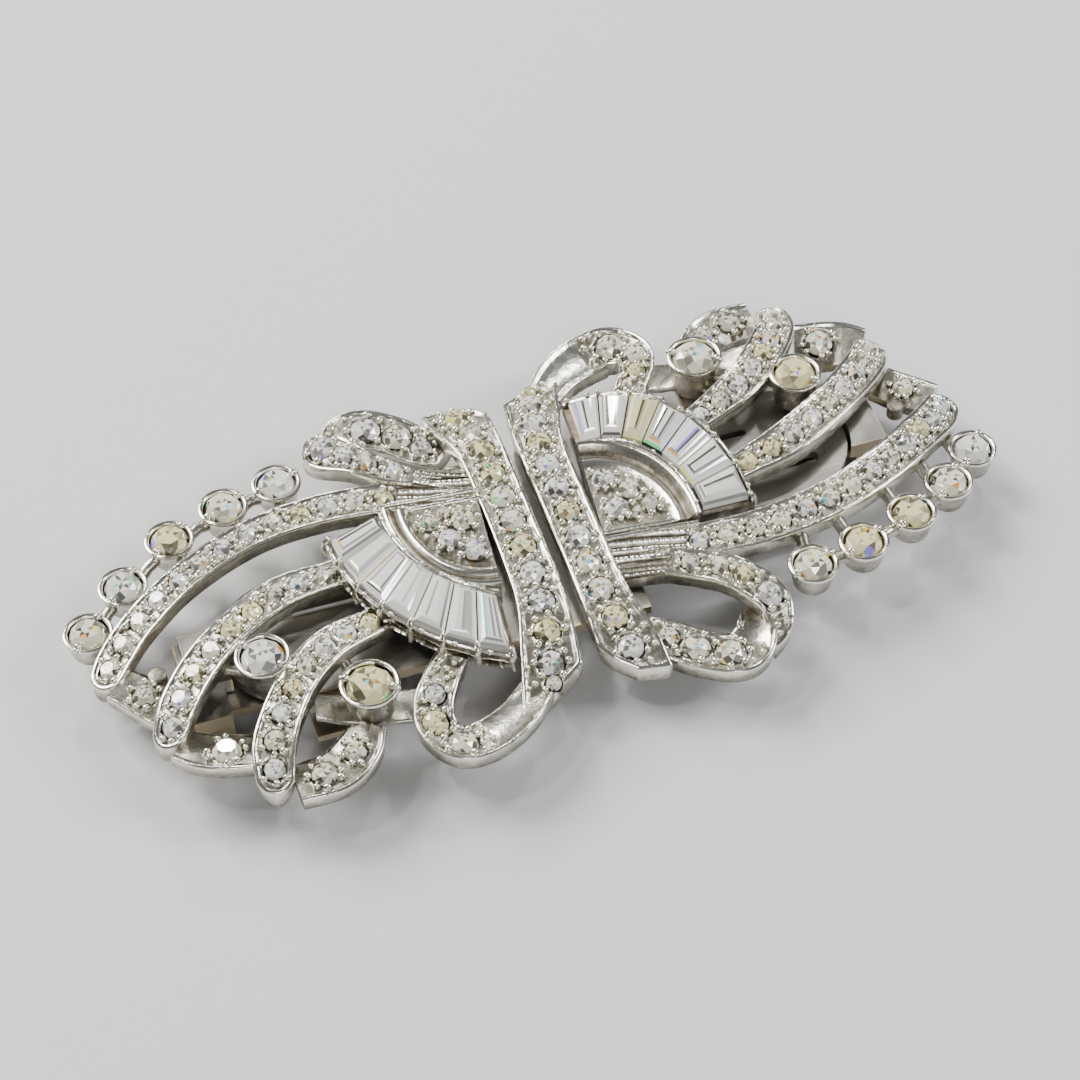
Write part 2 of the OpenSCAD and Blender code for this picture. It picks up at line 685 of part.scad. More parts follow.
module seam_band_stones() {
    color(stone_c)
        pave(concat(
            row_seats(seam_band, band_w, band_gem_d, 11, 2.6, 3.9),
            gem_seats(seam_band, band_w, band_gems)
        ));
}
module outer_ray_stones() {
    color(stone_c)
        pave(row_seats(outer_ray, ray_w, pave_d, 13, 1.2, 1.7));
}
module middle_ray_stones() {
    color(stone_c)
        pave(row_seats(middle_ray, ray_w, pave_d, 9, 1.2, 1.7));
}
module inner_ray_stones() {
    color(stone_c)
        pave(row_seats(inner_ray, ray_w, pave_d, 8, 1.2, 1.9));
}
module scallop_stones() {
    color(stone_c)
        pave(concat(
            gem_seats(scallop_1, lobe_w, lobe_gems[0]),
            gem_seats(scallop_2, lobe_w, lobe_gems[1]),
            gem_seats(scallop_3, lobe_w, lobe_gems[2])
        ));
}
module fold_stones() {
    color(stone_c)
        pave(concat(gem_seats(fold, loop_w, fold_gems), gem_seats(tuck, loop_w, tuck_gems)));
}
module loop_stones() {
    color(stone_c)
        pave(gem_seats(loop, loop_w, loop_gems));
}
module half_dome_stones() {
    color(stone_c)
        pave([for (r = dome_rows)
            [[r[0] * clip_l / 100, r[1] * clip_w / 100, dome_z + seat_gap], [0, 1, 0], [1, 0, 0],
                pave_d * r[2] / 100]]);
}
module fan_baguettes() {
    color(stone_c)
        fan_stones();
}
module collet_chain_stones() {
    color(stone_c)
        for (c = chain)
            collet_stone(pct(c), chain_d);
}
module inner_collet_stone() {
    color(stone_c)
        collet_stone(pct(inner_collet), inner_gem_d);
}
module outer_collet_stone() {
    color(stone_c)
        collet_stone(pct(outer_collet), outer_gem_d);
}

module left_hand() {
    rotate([0, 0, 180])
        children();
}

clip_casting();  // clip_casting_right
seam_band_stones();  // seam_band_stones_right
half_dome_stones();  // half_dome_stones_right
fan_baguettes();  // fan_baguettes_right
outer_ray_stones();  // outer_ray_stones_right
middle_ray_stones();  // middle_ray_stones_right
inner_ray_stones();  // inner_ray_stones_right
scallop_stones();  // scallop_stones_right
fold_stones();  // fold_stones_right
loop_stones();  // loop_stones_right
collet_chain_stones();  // collet_chain_stones_right
inner_collet_stone();  // inner_collet_stone_right
outer_collet_stone();  // outer_collet_stone_right
hinge_bracket();  // hinge_bracket_right
hinge_pin();  // hinge_pin_right
clip_lever();  // clip_lever_right
guide_strip();  // guide_strip_right
left_hand() clip_casting();  // clip_casting_left
left_hand() seam_band_stones();  // seam_band_stones_left
left_hand() half_dome_stones();  // half_dome_stones_left
left_hand() fan_baguettes();  // fan_baguettes_left
left_hand() outer_ray_stones();  // outer_ray_stones_left
left_hand() middle_ray_stones();  // middle_ray_stones_left
left_hand() inner_ray_stones();  // inner_ray_stones_left
left_hand() scallop_stones();  // scallop_stones_left
left_hand() fold_stones();  // fold_stones_left
left_hand() loop_stones();  // loop_stones_left
left_hand() collet_chain_stones();  // collet_chain_stones_left
left_hand() inner_collet_stone();  // inner_collet_stone_left
left_hand() outer_collet_stone();  // outer_collet_stone_left
left_hand() hinge_bracket();  // hinge_bracket_left
left_hand() hinge_pin();  // hinge_pin_left
left_hand() clip_lever();  // clip_lever_left
left_hand() guide_strip();  // guide_strip_left
brooch_frame();
brooch_pin();
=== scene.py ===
"""Looks of the double dress clip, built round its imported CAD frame.

Lengths in the classes are millimetres in the row's frame, and meshes are made in metres.
The right clip is built from its named sizes, and the left one is its half turn about Z.
"""

import logging
import math
from collections.abc import Callable
from dataclasses import dataclass, field
from enum import Enum

import bmesh
import bpy
import numpy as np
from mathutils import Matrix, Vector

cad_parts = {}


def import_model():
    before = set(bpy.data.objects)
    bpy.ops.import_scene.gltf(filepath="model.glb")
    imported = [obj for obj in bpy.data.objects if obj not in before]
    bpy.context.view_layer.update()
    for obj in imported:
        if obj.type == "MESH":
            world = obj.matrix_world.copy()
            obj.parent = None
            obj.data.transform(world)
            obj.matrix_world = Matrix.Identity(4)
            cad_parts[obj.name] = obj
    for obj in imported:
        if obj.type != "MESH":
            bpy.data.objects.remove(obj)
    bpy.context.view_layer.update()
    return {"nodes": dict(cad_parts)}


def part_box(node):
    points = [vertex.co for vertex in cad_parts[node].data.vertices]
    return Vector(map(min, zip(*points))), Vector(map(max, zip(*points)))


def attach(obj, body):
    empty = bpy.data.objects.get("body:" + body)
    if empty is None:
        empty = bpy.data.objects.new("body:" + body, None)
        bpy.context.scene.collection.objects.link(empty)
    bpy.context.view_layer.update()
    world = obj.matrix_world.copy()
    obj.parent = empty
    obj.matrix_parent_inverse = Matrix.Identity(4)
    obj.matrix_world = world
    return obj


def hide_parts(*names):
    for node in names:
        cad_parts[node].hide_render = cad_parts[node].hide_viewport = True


MM = 0.001
# Step of the ribbons' surface grid
GRID = 0.12
# Angle above which an edge of the metal stays sharp
SHARP_DEG = 38
UP = np.array([0, 0, 1.0])
# Lift of a row's stone, and of a stone placed by itself, above the channel's floor in seat gaps
ROW_LIFT = 2
GEM_LIFT = 4
log = logging.getLogger("double_clip")

Colour = tuple[float, float, float]
Faces = list[tuple[int, ...]]
Pair = tuple[np.ndarray, np.ndarray]


class Side(Enum):
    """One clip of the pair: its name, and the turn that brings the right clip's form to it."""

    RIGHT = ("right", 0.0)
    LEFT = ("left", math.pi)

    @property
    def label(self) -> str:
        """Name that ends the clip's nodes."""
        return self.value[0]

    @property
    def turn(self) -> Matrix:
        """Turn about Z, as a matrix."""
        return Matrix.Rotation(self.value[1], 4, "Z")

    @property
    def seed(self) -> int:
        """Seed of what differs between the two clips."""
        return 11 if self is Side.RIGHT else 47


class Slot(Enum):
    """Material slots of the record."""

    CASTING = "casting"
    STONES = "paste_stones"
    PLATE = "plate"


# Sizes and forms


@dataclass(frozen=True)
class ClipSizes:
    """Driving sizes of one clip, in millimetres, as in the part's source."""

    clip_l: float = 37.0
    clip_w: float = 40.0
    crown_h: float = 8.4
    seam_gap: float = 0.9
    cast_t: float = 1.6
    ray_w: float = 3.3
    band_w: float = 3.9
    loop_w: float = 3.2
    lobe_w: float = 3.1
    rim_w: float = 0.42
    channel_d: float = 0.5
    web_t: float = 0.7
    pave_d: float = 1.7
    band_gem_d: float = 2.1
    pave_h: float = 0.75
    chain_d: float = 3.1
    inner_gem_d: float = 3.4
    outer_gem_d: float = 3.7
    gem_h: float = 1.15
    sunk_share: float = 0.62
    bezel_t: float = 0.4
    foot_share: float = 0.72
    baguettes: int = 7
    inner_drop: float = 3.1
    outer_drop: float = 3.6
    chain_drop: float = 2.3
    baguette_h: float = 1.1
    baguette_gap: float = 0.14
    seat_gap: float = 0.05
    fan_in_x: float = 7.2
    fan_in_y: float = 9.6
    fan_out_x: float = 12.2
    fan_out_y: float = 14.8
    fan_lip: float = 0.07
    tray_t: float = 1.1
    wall_w: float = 0.9
    wall_h: float = 0.8
    dome_t: float = 1.8
    dome_turn: float = -5.0
    frame_z: float = 3.3
    bracket_z: float = 4.4
    post_r: float = 0.7

    @property
    def fan_c(self) -> tuple[float, float]:
        """Centre of the fan's outer edge."""
        return 0.125 * self.clip_l, -0.065 * self.clip_w

    @property
    def dome_c(self) -> tuple[float, float]:
        """Centre of the half dome and of the fan's inner edge."""
        return 0.125 * self.clip_l, -0.088 * self.clip_w

    @property
    def dome_z(self) -> float:
        """Height of the half dome's top."""
        return 0.795 * self.crown_h

    def place(self, row: tuple[float, ...]) -> np.ndarray:
        """Point of a row of shares in per cent."""
        return np.array([row[0] * self.clip_l, row[1] * self.clip_w, row[2] * self.crown_h]) / 100

    def fan_xy(self, a: np.ndarray | float, share: np.ndarray | float) -> Pair:
        """Place on the fan, in plan.

        Args:
            a: angle round the fan's centre, in radians.
            share: from 0 at the fan's inner edge to 1 at its outer one.

        Returns:
            The distances along the clip and across it.
        """
        x = self.fan_c[0] + (self.fan_in_x + (self.fan_out_x - self.fan_in_x) * share) * np.cos(a)
        y = self.dome_c[1] + (self.fan_c[1] - self.dome_c[1]) * share
        return x, y + (self.fan_in_y + (self.fan_out_y - self.fan_in_y) * share) * np.sin(a)

    def fan_root(self, angle: float, height: float, width: float) -> tuple[float, ...]:
        """Row of a ribbon's table at the fan's outer wall.

        Args:
            angle: degrees round the fan's centre.
            height: share of the crown's height, in per cent.
            width: share of the ribbon's width, in per cent.

        Returns:
            The row (along, across, height, width, bank).
        """
        x, y = self.fan_xy(math.radians(angle), 1 - 0.6 * self.fan_lip)
        return x * 100 / self.clip_l, y * 100 / self.clip_w, height, width, 0


S = ClipSizes()

FAN_ROWS = ((-3, 93, 80), (20, 99, 94), (45, 100, 97), (68, 95, 88), (85, 84, 74))
CHAIN = ((51, -27, 71), (63.5, -24.5, 69), (76.5, -20, 66.5), (88.5, -13, 56), (98, -5, 48))
INNER_COLLET = (65.5, 18.5, 92)
OUTER_COLLET = (46.5, 30.5, 87)
DOME_STONES = (
    (16, 4.9, 112), (16.1, -3.4, 116), (20.3, 0.6, 108), (23, -4.5, 85), (19.6, -5.9, 55),
)
BAND_GEMS = ((93.5, 74),)
FOLD_GEMS = ((14, 90), (32, 92), (48, 98), (67, 128))
TUCK_GEMS = ((43, 148), (65, 145), (84, 110))
LOOP_GEMS = ((46, 142), (62, 122), (76, 94))
LOBE_GEMS = (((49, 112),), ((36, 142),), ((33, 104), (72, 120)))
STUB = (86.5, 10.2, 52.5)
RIVET = (76.5, 14, 70)
BAND_CUTS = (
    ((0, -31), (3.5, -35.5)), ((3.5, -35.5), (8, -38.5)), ((8, -38.5), (15.3, -39)),
    ((17.5, 42.5), (12, 40)), ((12, 40), (0, 33)),
)


def unit(v: np.ndarray) -> np.ndarray:
    """Vectors scaled to length one."""
    return v / np.linalg.norm(v, axis=-1, keepdims=True)


def spline(rows: np.ndarray, u: np.ndarray) -> np.ndarray:
    """Smooth rows of a table through its neighbours.

    Args:
        rows: the table.
        u: running numbers, one for each row that is wanted.

    Returns:
        One row for each running number.
    """
    n = len(rows) - 1
    i = np.minimum(np.floor(u).astype(int), n - 1)
    t = (u - i)[:, None]
    b, c = rows[i], rows[i + 1]
    a = np.where((i > 0)[:, None], rows[np.maximum(i - 1, 0)], 2 * b - c)
    d = np.where((i + 2 <= n)[:, None], rows[np.minimum(i + 2, n)], 2 * c - b)
    cubic = (2 * a - 5 * b + 4 * c - d) * t**2 + (3 * b - a - 3 * c + d) * t**3
    return b + ((c - a) * t + cubic) / 2


def ramp(x: np.ndarray, low: float, high: float) -> np.ndarray:
    """Smooth step from 0 at low to 1 at high."""
    t = np.clip((x - low) / (high - low), 0, 1)
    return t * t * (3 - 2 * t)


def wobble(s: np.ndarray, rng: np.random.Generator, size: float) -> np.ndarray:
    """Hand-finished unevenness along a line.

    Args:
        s: running length in millimetres.
        rng: source of the phases.
        size: largest departure.

    Returns:
        Departure at each length.
    """
    out = np.zeros_like(s)
    for wave in (1.1, 1.9, 3.3, 6.1):
        out += np.sin(s * 2 * math.pi / wave + rng.uniform(0, 6.3)) * rng.uniform(0.15, 0.35)
    return out * size


@dataclass(frozen=True)
class Seat:
    """Seat of a round stone: its centre, the directions to its left and ahead, its diameter."""

    centre: np.ndarray
    left: np.ndarray
    ahead: np.ndarray
    diameter: float

    @property
    def up(self) -> np.ndarray:
        """Direction out of the seat."""
        return unit(np.cross(self.ahead, self.left))


@dataclass(frozen=True)
class Ribbon:
    """Centre line and width of a ribbon. Rows: along, across, height, width, bank."""

    rows: tuple[tuple[float, ...], ...]
    width: float

    def stations(self, u: np.ndarray) -> tuple[np.ndarray, np.ndarray, np.ndarray, np.ndarray]:
        """Points, left vectors, half widths and directions at running numbers.

        Args:
            u: running numbers along the table's rows.

        Returns:
            Points, left vectors, half widths and directions.
        """
        table = np.array(self.rows, float)
        scale = np.array([S.clip_l, S.clip_w, S.crown_h]) / 100
        last = len(self.rows) - 1
        row = spline(table, u)
        step = spline(table, np.minimum(u + 0.05, last)) - spline(table, np.maximum(u - 0.05, 0))
        ahead = unit(step[:, :3] * scale)
        flat = unit(np.stack([-ahead[:, 1], ahead[:, 0], 0 * u], 1))
        flat[:, 2] = row[:, 4] / 100
        return row[:, :3] * scale, unit(flat), self.width * row[:, 3] / 200, ahead

    def lengths(self) -> tuple[np.ndarray, np.ndarray]:
        """Running numbers in sixths, and the running length at each.

        Returns:
            The numbers and the lengths.
        """
        u = np.arange((len(self.rows) - 1) * 6 + 1) / 6
        point = self.stations(u)[0]
        return u, np.concatenate([[0], np.cumsum(np.linalg.norm(np.diff(point, axis=0), axis=1))])

    def at(self, length: float | np.ndarray) -> tuple[np.ndarray, ...]:
        """Stations at running lengths."""
        u, run = self.lengths()
        return self.stations(np.interp(np.atleast_1d(length), run, u))

    def seats(self, count: int, first: float, last: float, diameter: float = S.pave_d) -> list[Seat]:
        """Seats of stones of one diameter, evenly between two margins.

        Args:
            count: how many.
            first: margin before the first stone's middle.
            last: margin after the last one's middle.
            diameter: the diameter that each should have.

        Returns:
            The seats.
        """
        step = (self.lengths()[1][-1] - first - last) / max(count - 1, 1)
        places = first + np.arange(count) * step
        return [self.seat(length, diameter, ROW_LIFT) for length in places]

    def gem_seats(self, gems: tuple[tuple[float, float], ...]) -> list[Seat]:
        """Seats of the stones that a table places, as shares of the length and of a pave stone."""
        total = self.lengths()[1][-1]
        return [self.seat(total * share / 100, S.pave_d * d / 100, GEM_LIFT) for share, d in gems]

    def seat(self, length: float, diameter: float, gaps: int) -> Seat:
        """One seat on the centre line, no wider than the channel.

        Args:
            length: its running length.
            diameter: the diameter that its stone should have.
            gaps: its height above the channel's floor, in seat gaps.

        Returns:
            The seat.
        """
        p, left, half, ahead = (v[0] for v in self.at(length))
        room = 2 * (half - S.rim_w) - 3 * S.seat_gap
        up = unit(np.cross(ahead, left))
        lift = gaps * S.seat_gap - S.channel_d
        return Seat(p + up * lift, left, ahead, min(diameter, room))


SEAM_BAND = Ribbon(
    (
        (9.3, -39.8, 51, 115, 0), (7.9, -33, 65, 124, 0), (6.2, -22, 77.5, 106, 0), (6, -8, 81, 100, 0),
        (6, 8, 80.5, 100, 0), (6.5, 20, 76, 102, 0), (8.5, 31, 65, 118, 0), (11, 42, 50, 128, 0),
    ),
    S.band_w,
)
OUTER_RAY = Ribbon(
    (
        (27, -15, 76, 100, 5), (43, -16, 79, 100, 8), (59.5, -14, 81, 100, 15),
        (75.5, -8, 78, 100, 20), (87, -1, 70.5, 100, 20), (94, 4.5, 58.5, 100, 24), (98.3, 10, 50, 80, 28),
    ),
    S.ray_w,
)
MIDDLE_RAY = Ribbon(
    (
        S.fan_root(11, 76.5, 80), (57, 3, 85, 100, 8), (67.5, 8, 86.5, 100, 10),
        (76.5, 14, 83, 100, 10), (84, 21, 72, 100, 20), (88.8, 28.5, 55.5, 85, 36),
    ),
    S.ray_w,
)
INNER_RAY = Ribbon(
    (
        S.fan_root(35, 78, 75), (50.5, 18.5, 88, 95, 5), (58.5, 24, 89, 100, 8),
        (64.5, 30.5, 83, 100, 8), (68.5, 37, 72, 100, 5), (70.3, 45, 55.5, 80, 0),
    ),
    S.ray_w,
)
FOLD = Ribbon(
    (
        (21.6, -18.5, 79, 72, 12), (27.5, -21.5, 80.5, 84, 8), (33.5, -25.8, 83.5, 95, 0),
        (39, -31.5, 75.5, 112, -25), (39.6, -36.5, 63.5, 75, -35), (37, -41, 51, 40, -30),
    ),
    S.loop_w,
)
TUCK = Ribbon(
    (
        (35.5, -31, 60, 75, 0), (34.5, -36.5, 55, 105, 12), (30, -39.8, 50, 132, 12),
        (22.5, -36.5, 48.5, 125, 8), (16.5, -31, 46, 112, 3), (13, -28, 46, 85, 0),
    ),
    S.loop_w,
)
LOOP = Ribbon(
    (
        (13.3, 36.5, 55, 95, 15), (18.5, 41, 56, 112, 25), (25, 44, 55.5, 124, 25),
        (31.2, 44.7, 57, 122, 25), (35.3, 41, 61.5, 106, 25), (35, 36, 66, 96, 22),
        (32, 31, 69, 88, 12), S.fan_root(62, 68, 80),
    ),
    S.loop_w,
)
WEB = Ribbon(
    ((36, 33.5, 57, 95, 0), (45, 32, 57, 88, 0), (52, 31, 62, 82, 0), (58, 30, 72, 75, 0)), S.loop_w
)
SCALLOP_1 = Ribbon(
    ((86.2, 18.8, 50.5, 110, -5), (89.8, 14.6, 52.5, 116, -5), (94.6, 9.9, 55, 105, 0)), S.lobe_w
)
SCALLOP_2 = Ribbon(
    ((72, 33.5, 54, 125, 20), (77.5, 32, 54, 135, 22), (82, 30.5, 55.5, 130, 22), (86, 28, 57, 110, 20)),
    S.lobe_w,
)
SCALLOP_3 = Ribbon(
    ((48.5, 35.5, 62, 90, -5), (52, 39.8, 59, 120, -3), (57.5, 43, 56.5, 128, 0), (66, 43.5, 55.5, 118, 0)),
    S.lobe_w,
)
OUTER_ROOT = Ribbon(
    ((10.5, -11, 75, 105, 0), (19.5, -13, 76.5, 100, 0), (27.3, -15, 77.5, 98, 5)), S.ray_w
)
FOLD_ROOT = Ribbon(
    ((11, -15.5, 70, 80, 0), (17, -17, 74, 72, 12), (22.5, -18.7, 79, 72, 25)), S.loop_w
)


# Meshes


def shade_smooth(mesh: bpy.types.Mesh) -> None:
    """Shades a mesh smoothly, but for its sharp edges."""
    mesh.shade_smooth()
    mesh.set_sharp_from_angle(angle=math.radians(SHARP_DEG))


@dataclass
class Draft:
    """Gathers the shells of one mesh, with a polish and painted shade for each vertex, or for each face a
    tint with painted reflection.
    """

    points: list[np.ndarray] = field(default_factory=list)
    faces: Faces = field(default_factory=list)
    polish: list[np.ndarray] = field(default_factory=list)
    tints_and_reflections: list[Colour] = field(default_factory=list)
    count: int = 0

    def shell(self, points: np.ndarray, faces: Faces, polish: np.ndarray | float = 1.0) -> None:
        """Adds one closed shell, turned outward if its faces look inward.

        Args:
            points: its vertices in millimetres.
            faces: its faces, as vertex numbers.
            polish: how bright the metal is at each vertex, from 0 to 1, where low values are tarnish and
                painted shade.
        """
        volume = 0.0
        for f in faces:
            p = points[list(f)]
            first = np.tile(p[0], (len(f) - 2, 1))
            volume += float(np.einsum("ij,ij->", np.cross(p[1:-1], p[2:]), first))
        if volume < 0:
            faces = [f[::-1] for f in faces]
        self.faces += [tuple(i + self.count for i in f) for f in faces]
        self.points.append(points)
        self.polish.append(np.broadcast_to(np.asarray(polish, float), (len(points),)))
        self.count += len(points)

    def gem(self, points: np.ndarray, faces: Faces, tints_and_reflections: list[Colour]) -> None:
        """Adds a stone, with one tint for each face, which holds its body colour and painted reflection."""
        self.shell(points, faces)
        self.tints_and_reflections += tints_and_reflections

    def mesh(self, name: str, turn: Matrix, smooth: bool) -> bpy.types.Mesh:
        """Makes the mesh.

        Args:
            name: the mesh's name.
            turn: the clip's turn about Z.
            smooth: whether it shades smoothly, or in flat facets.

        Returns:
            The mesh, in metres.
        """
        mesh = bpy.data.meshes.new(name)
        mesh.from_pydata(np.concatenate(self.points) * MM, [], self.faces)
        mesh.transform(turn)
        if self.tints_and_reflections:
            corners = [c for f, t in zip(self.faces, self.tints_and_reflections) for c in (*t, 1.0) * len(f)]
            tint = mesh.color_attributes.new("tint", "FLOAT_COLOR", "CORNER")
            tint.data.foreach_set("color", corners)
        else:
            polish = np.concatenate(self.polish)
            mesh.attributes.new("polish", "FLOAT", "POINT").data.foreach_set("value", polish)
        if smooth:
            shade_smooth(mesh)
        mesh.update()
        return mesh


def tube_faces(rows: int, cols: int) -> Faces:
    """Faces of a tube of closed rings, with a cap at each end.

    Args:
        rows: how many rings.
        cols: how many points each ring has.

    Returns:
        The faces, as vertex numbers.
    """
    last = (rows - 1) * cols
    faces: Faces = [tuple(range(cols)), tuple(last + i for i in reversed(range(cols)))]
    for j in range(rows - 1):
        a, b = j * cols, (j + 1) * cols
        faces += [(b + i, b + (i + 1) % cols, a + (i + 1) % cols, a + i) for i in range(cols)]
    return faces


def lathe(draft: Draft, centre: np.ndarray, profile: tuple[tuple[float, ...], ...], n: int = 32) -> None:
    """Adds a turned shell.

    Args:
        draft: the mesh that takes it.
        centre: foot of its axis, which is upright.
        profile: rows (radius, height, polish and painted shade) from its lower middle to its upper middle.
        n: points of a ring.
    """
    angle = np.arange(n) * 2 * math.pi / n
    rings = [
        np.stack([r * np.cos(angle), r * np.sin(angle), np.full(n, z)], 1) + centre
        for r, z, _ in profile
    ]
    polish = np.concatenate([np.full(n, p) for *_, p in profile])
    draft.shell(np.concatenate(rings), tube_faces(len(profile), n), polish)


def ball(draft: Draft, centre: np.ndarray, radius: float, polish: float = 1.0, n: int = 10) -> None:
    """Adds a small grain of metal, as a closed ball.

    Args:
        draft: the mesh that takes it.
        centre: its middle.
        radius: its radius.
        polish: how bright it is; low values are tarnish and painted shade.
        n: points of a ring.
    """
    angle = np.arange(n) * 2 * math.pi / n
    rings = []
    for lift in np.radians([-80, -50, -20, 10, 38, 62, 82]):
        r = radius * math.cos(lift)
        z = np.full(n, radius * math.sin(lift))
        rings.append(np.stack([r * np.cos(angle), r * np.sin(angle), z], 1) + centre)
    draft.shell(np.concatenate(rings), tube_faces(len(rings), n), polish)


def rod(
    draft: Draft, path: np.ndarray, radii: np.ndarray | float, polish: float, n: int = 10
) -> None:
    """Adds a round bar along points, with a radius at each.

    Args:
        draft: the mesh that takes it.
        path: its points.
        radii: its radius, or one at each point.
        polish: how bright it is; low values are tarnish and painted shade.
        n: points of a ring.
    """
    path = np.asarray(path, float)
    radii = np.broadcast_to(np.asarray(radii, float), (len(path),))
    ahead = unit(np.gradient(path, axis=0))
    helper = np.where(np.abs(ahead[:, 2:3]) > 0.9, [[1.0, 0, 0]], [[0, 0, 1.0]])
    side = unit(np.cross(ahead, helper))
    up = np.cross(side, ahead)
    angle = np.arange(n) * 2 * math.pi / n
    rings = [
        p + r * (np.outer(np.cos(angle), a) + np.outer(np.sin(angle), b))
        for p, r, a, b in zip(path, radii, side, up)
    ]
    draft.shell(np.concatenate(rings), tube_faces(len(path), n), polish)


class Section(Enum):
    """What a ribbon's top looks like across its width."""

    CHANNEL = "two rims with seats between them"
    LOBE = "one rim on the left edge"
    FLUTES = "ridges along the ribbon"
    WEB = "a thin plain sheet"


@dataclass
class RibbonForm:
    """Builds a ribbon's surface on a fine grid, with its rims, seats and walls."""

    ribbon: Ribbon
    section: Section = Section.CHANNEL
    seats: list[Seat] = field(default_factory=list)
    plain_until: float = 0.0
    flutes: int = 4
    cuts: tuple = ()
    floor: float = -0.2
    round_r: float = 0.16
    tip: float = 0.0
    soft_start: float = 0.0
    seed: int = 3

    @property
    def deep(self) -> float:
        """Thickness of the metal."""
        thin = {Section.LOBE: 0.9 * S.cast_t, Section.WEB: S.web_t}
        return thin.get(self.section, S.cast_t)

    def edge_distance(self, points: np.ndarray, d: np.ndarray) -> np.ndarray:
        """Distance to the nearest edge, the cut ends counted.

        Args:
            points: points of the flat ribbon.
            d: their distances to its sides.

        Returns:
            The distances, none below 0.
        """
        for co, no in self.cuts:
            d = np.minimum(d, -((points - co) @ no))
        return np.maximum(d, 0)

    def edges(self, base: np.ndarray, x: np.ndarray, half: np.ndarray, run: np.ndarray) -> Pair:
        """Distances to the flat ribbon's outline, and to the edges that have a rim.

        Args:
            base: points of the flat ribbon.
            x: distance left of the centre line.
            half: half width at each point.
            run: running length at each point.

        Returns:
            Both distances.
        """
        left = run.max() - run
        side = half - np.abs(x)
        if self.tip:
            back = np.maximum(self.tip - left, 0) / self.tip
            side = np.where(back > 0, self.tip * (1 - np.hypot(x / half, back)), side)
        outline = self.edge_distance(base, side)
        if self.section is Section.LOBE:
            return outline, np.where(x > 0, outline, half + 1)
        if self.plain_until:
            return outline, np.minimum(outline, left)
        if self.section is Section.CHANNEL and not self.tip:
            return outline, np.minimum(outline, np.minimum(run, left))
        return outline, outline

    def top(self, base: np.ndarray, x: np.ndarray, half: np.ndarray, run: np.ndarray) -> Pair:
        """Height and polish of the top surface; the low polish of floors, flute grooves and stone seats
        stands for tarnish and painted shade.

        Args:
            base: points of the flat ribbon.
            x: distance left of the centre line.
            half: half width at each point.
            run: running length at each point.

        Returns:
            Height above the flat ribbon, and polish with painted shade.
        """
        rng = np.random.default_rng(self.seed)
        total = run.max()
        outline, d = self.edges(base, x, half, run)
        uneven = wobble(run, rng, 0.03)
        rim_w = S.rim_w * (0.98 + wobble(run + 40 * (x > 0), rng, 0.08))
        shoulder = np.clip(self.round_r - outline, 0, self.round_r)
        round_off = -self.round_r + np.sqrt(self.round_r**2 - shoulder**2)
        inner = ramp(d, rim_w - 0.15, rim_w + 0.13)
        floor = self.floor - 0.04 * np.cos(run * 2.1) + uneven
        # Floors are duller than rims: tarnish and painted shade
        polish = 1 - 0.6 * inner
        if self.section is Section.FLUTES:
            phase = (x / half + 1) * self.flutes * math.pi
            floor = -0.12 - 0.17 * np.cos(phase)
            beads = 0.05 * np.cos(run * 2 * math.pi / 0.42 + 1.5 * np.floor(phase / 6.28))
            floor = floor + beads * (floor > -0.1)
            inner = ramp(d, 0.02, 0.1)
            # Flute grooves are darker: tarnish and painted shade in the creases
            polish = 0.15 + 0.8 * ramp(floor, -0.22, 0.02)
        if self.section is Section.LOBE:
            floor = floor - 0.3 * ramp(-x / half, -0.2, 1)
        if self.section is Section.WEB:
            inner = np.ones_like(d)
            floor = -0.3 * np.sin(np.pi * run / total) * (0.4 + 0.6 * (x / half) ** 2)
            # The sagging middle of the web is darker: tarnish and painted shade
            polish = 0.45 + 0.3 * (x / half) ** 2
        if self.plain_until:
            plain = 1 - ramp(run / total, self.plain_until - 0.03, self.plain_until + 0.02)
            dish = -0.32 * (1 - np.minimum((x / half) ** 2, 1))
            floor = floor * (1 - plain) + dish * plain
            polish = polish * (1 - plain) + (0.75 + 0.2 * np.sin(run * 5 + x * 2)) * plain
        height = inner * floor + (1 - inner) * uneven * 0.6
        for seat in self.seats:
            away = base - seat.centre
            r = np.linalg.norm(away - np.outer(away @ seat.up, seat.up), axis=1)
            edge = seat.diameter / 2
            lip = np.exp(-(((r - edge - 0.13) / 0.08) ** 2)) * inner
            height = height + 0.07 * lip
            polish = np.maximum(polish, 0.85 * lip)
            # Each seat's well is painted dark: a painted shadow round the stone
            well = 1 - ramp(r, edge + 0.01, edge + 0.08)
            height = height * (1 - well) - S.channel_d * well
            polish = polish * (1 - well)
        return height + round_off, polish

    def rows(self, total: float) -> Pair:
        """Running lengths of the grid's rows, and how far a rounded end narrows each.

        Args:
            total: the ribbon's length.

        Returns:
            The lengths, and the share of the width that is left at each.
        """
        run = np.linspace(0, total, int(total / GRID))
        if self.soft_start:
            opening = self.soft_start * (1 - np.cos(np.linspace(0, math.pi / 2, 16)))
            run = np.concatenate([opening, run[run > self.soft_start + GRID / 2]])
            ahead = np.clip(1 - run / self.soft_start, 0, 1)
            return run, np.maximum(np.sqrt(1 - ahead**2), 0.04)
        if not self.tip:
            return run, np.ones_like(run)
        close = total - self.tip * (1 - np.sin(np.linspace(0, math.pi / 2, 16)))
        run = np.concatenate([run[run < total - self.tip - GRID / 2], close])
        back = np.clip(1 - (total - run) / self.tip, 0, 1)
        return run, np.maximum(np.sqrt(1 - back**2), 0.04)

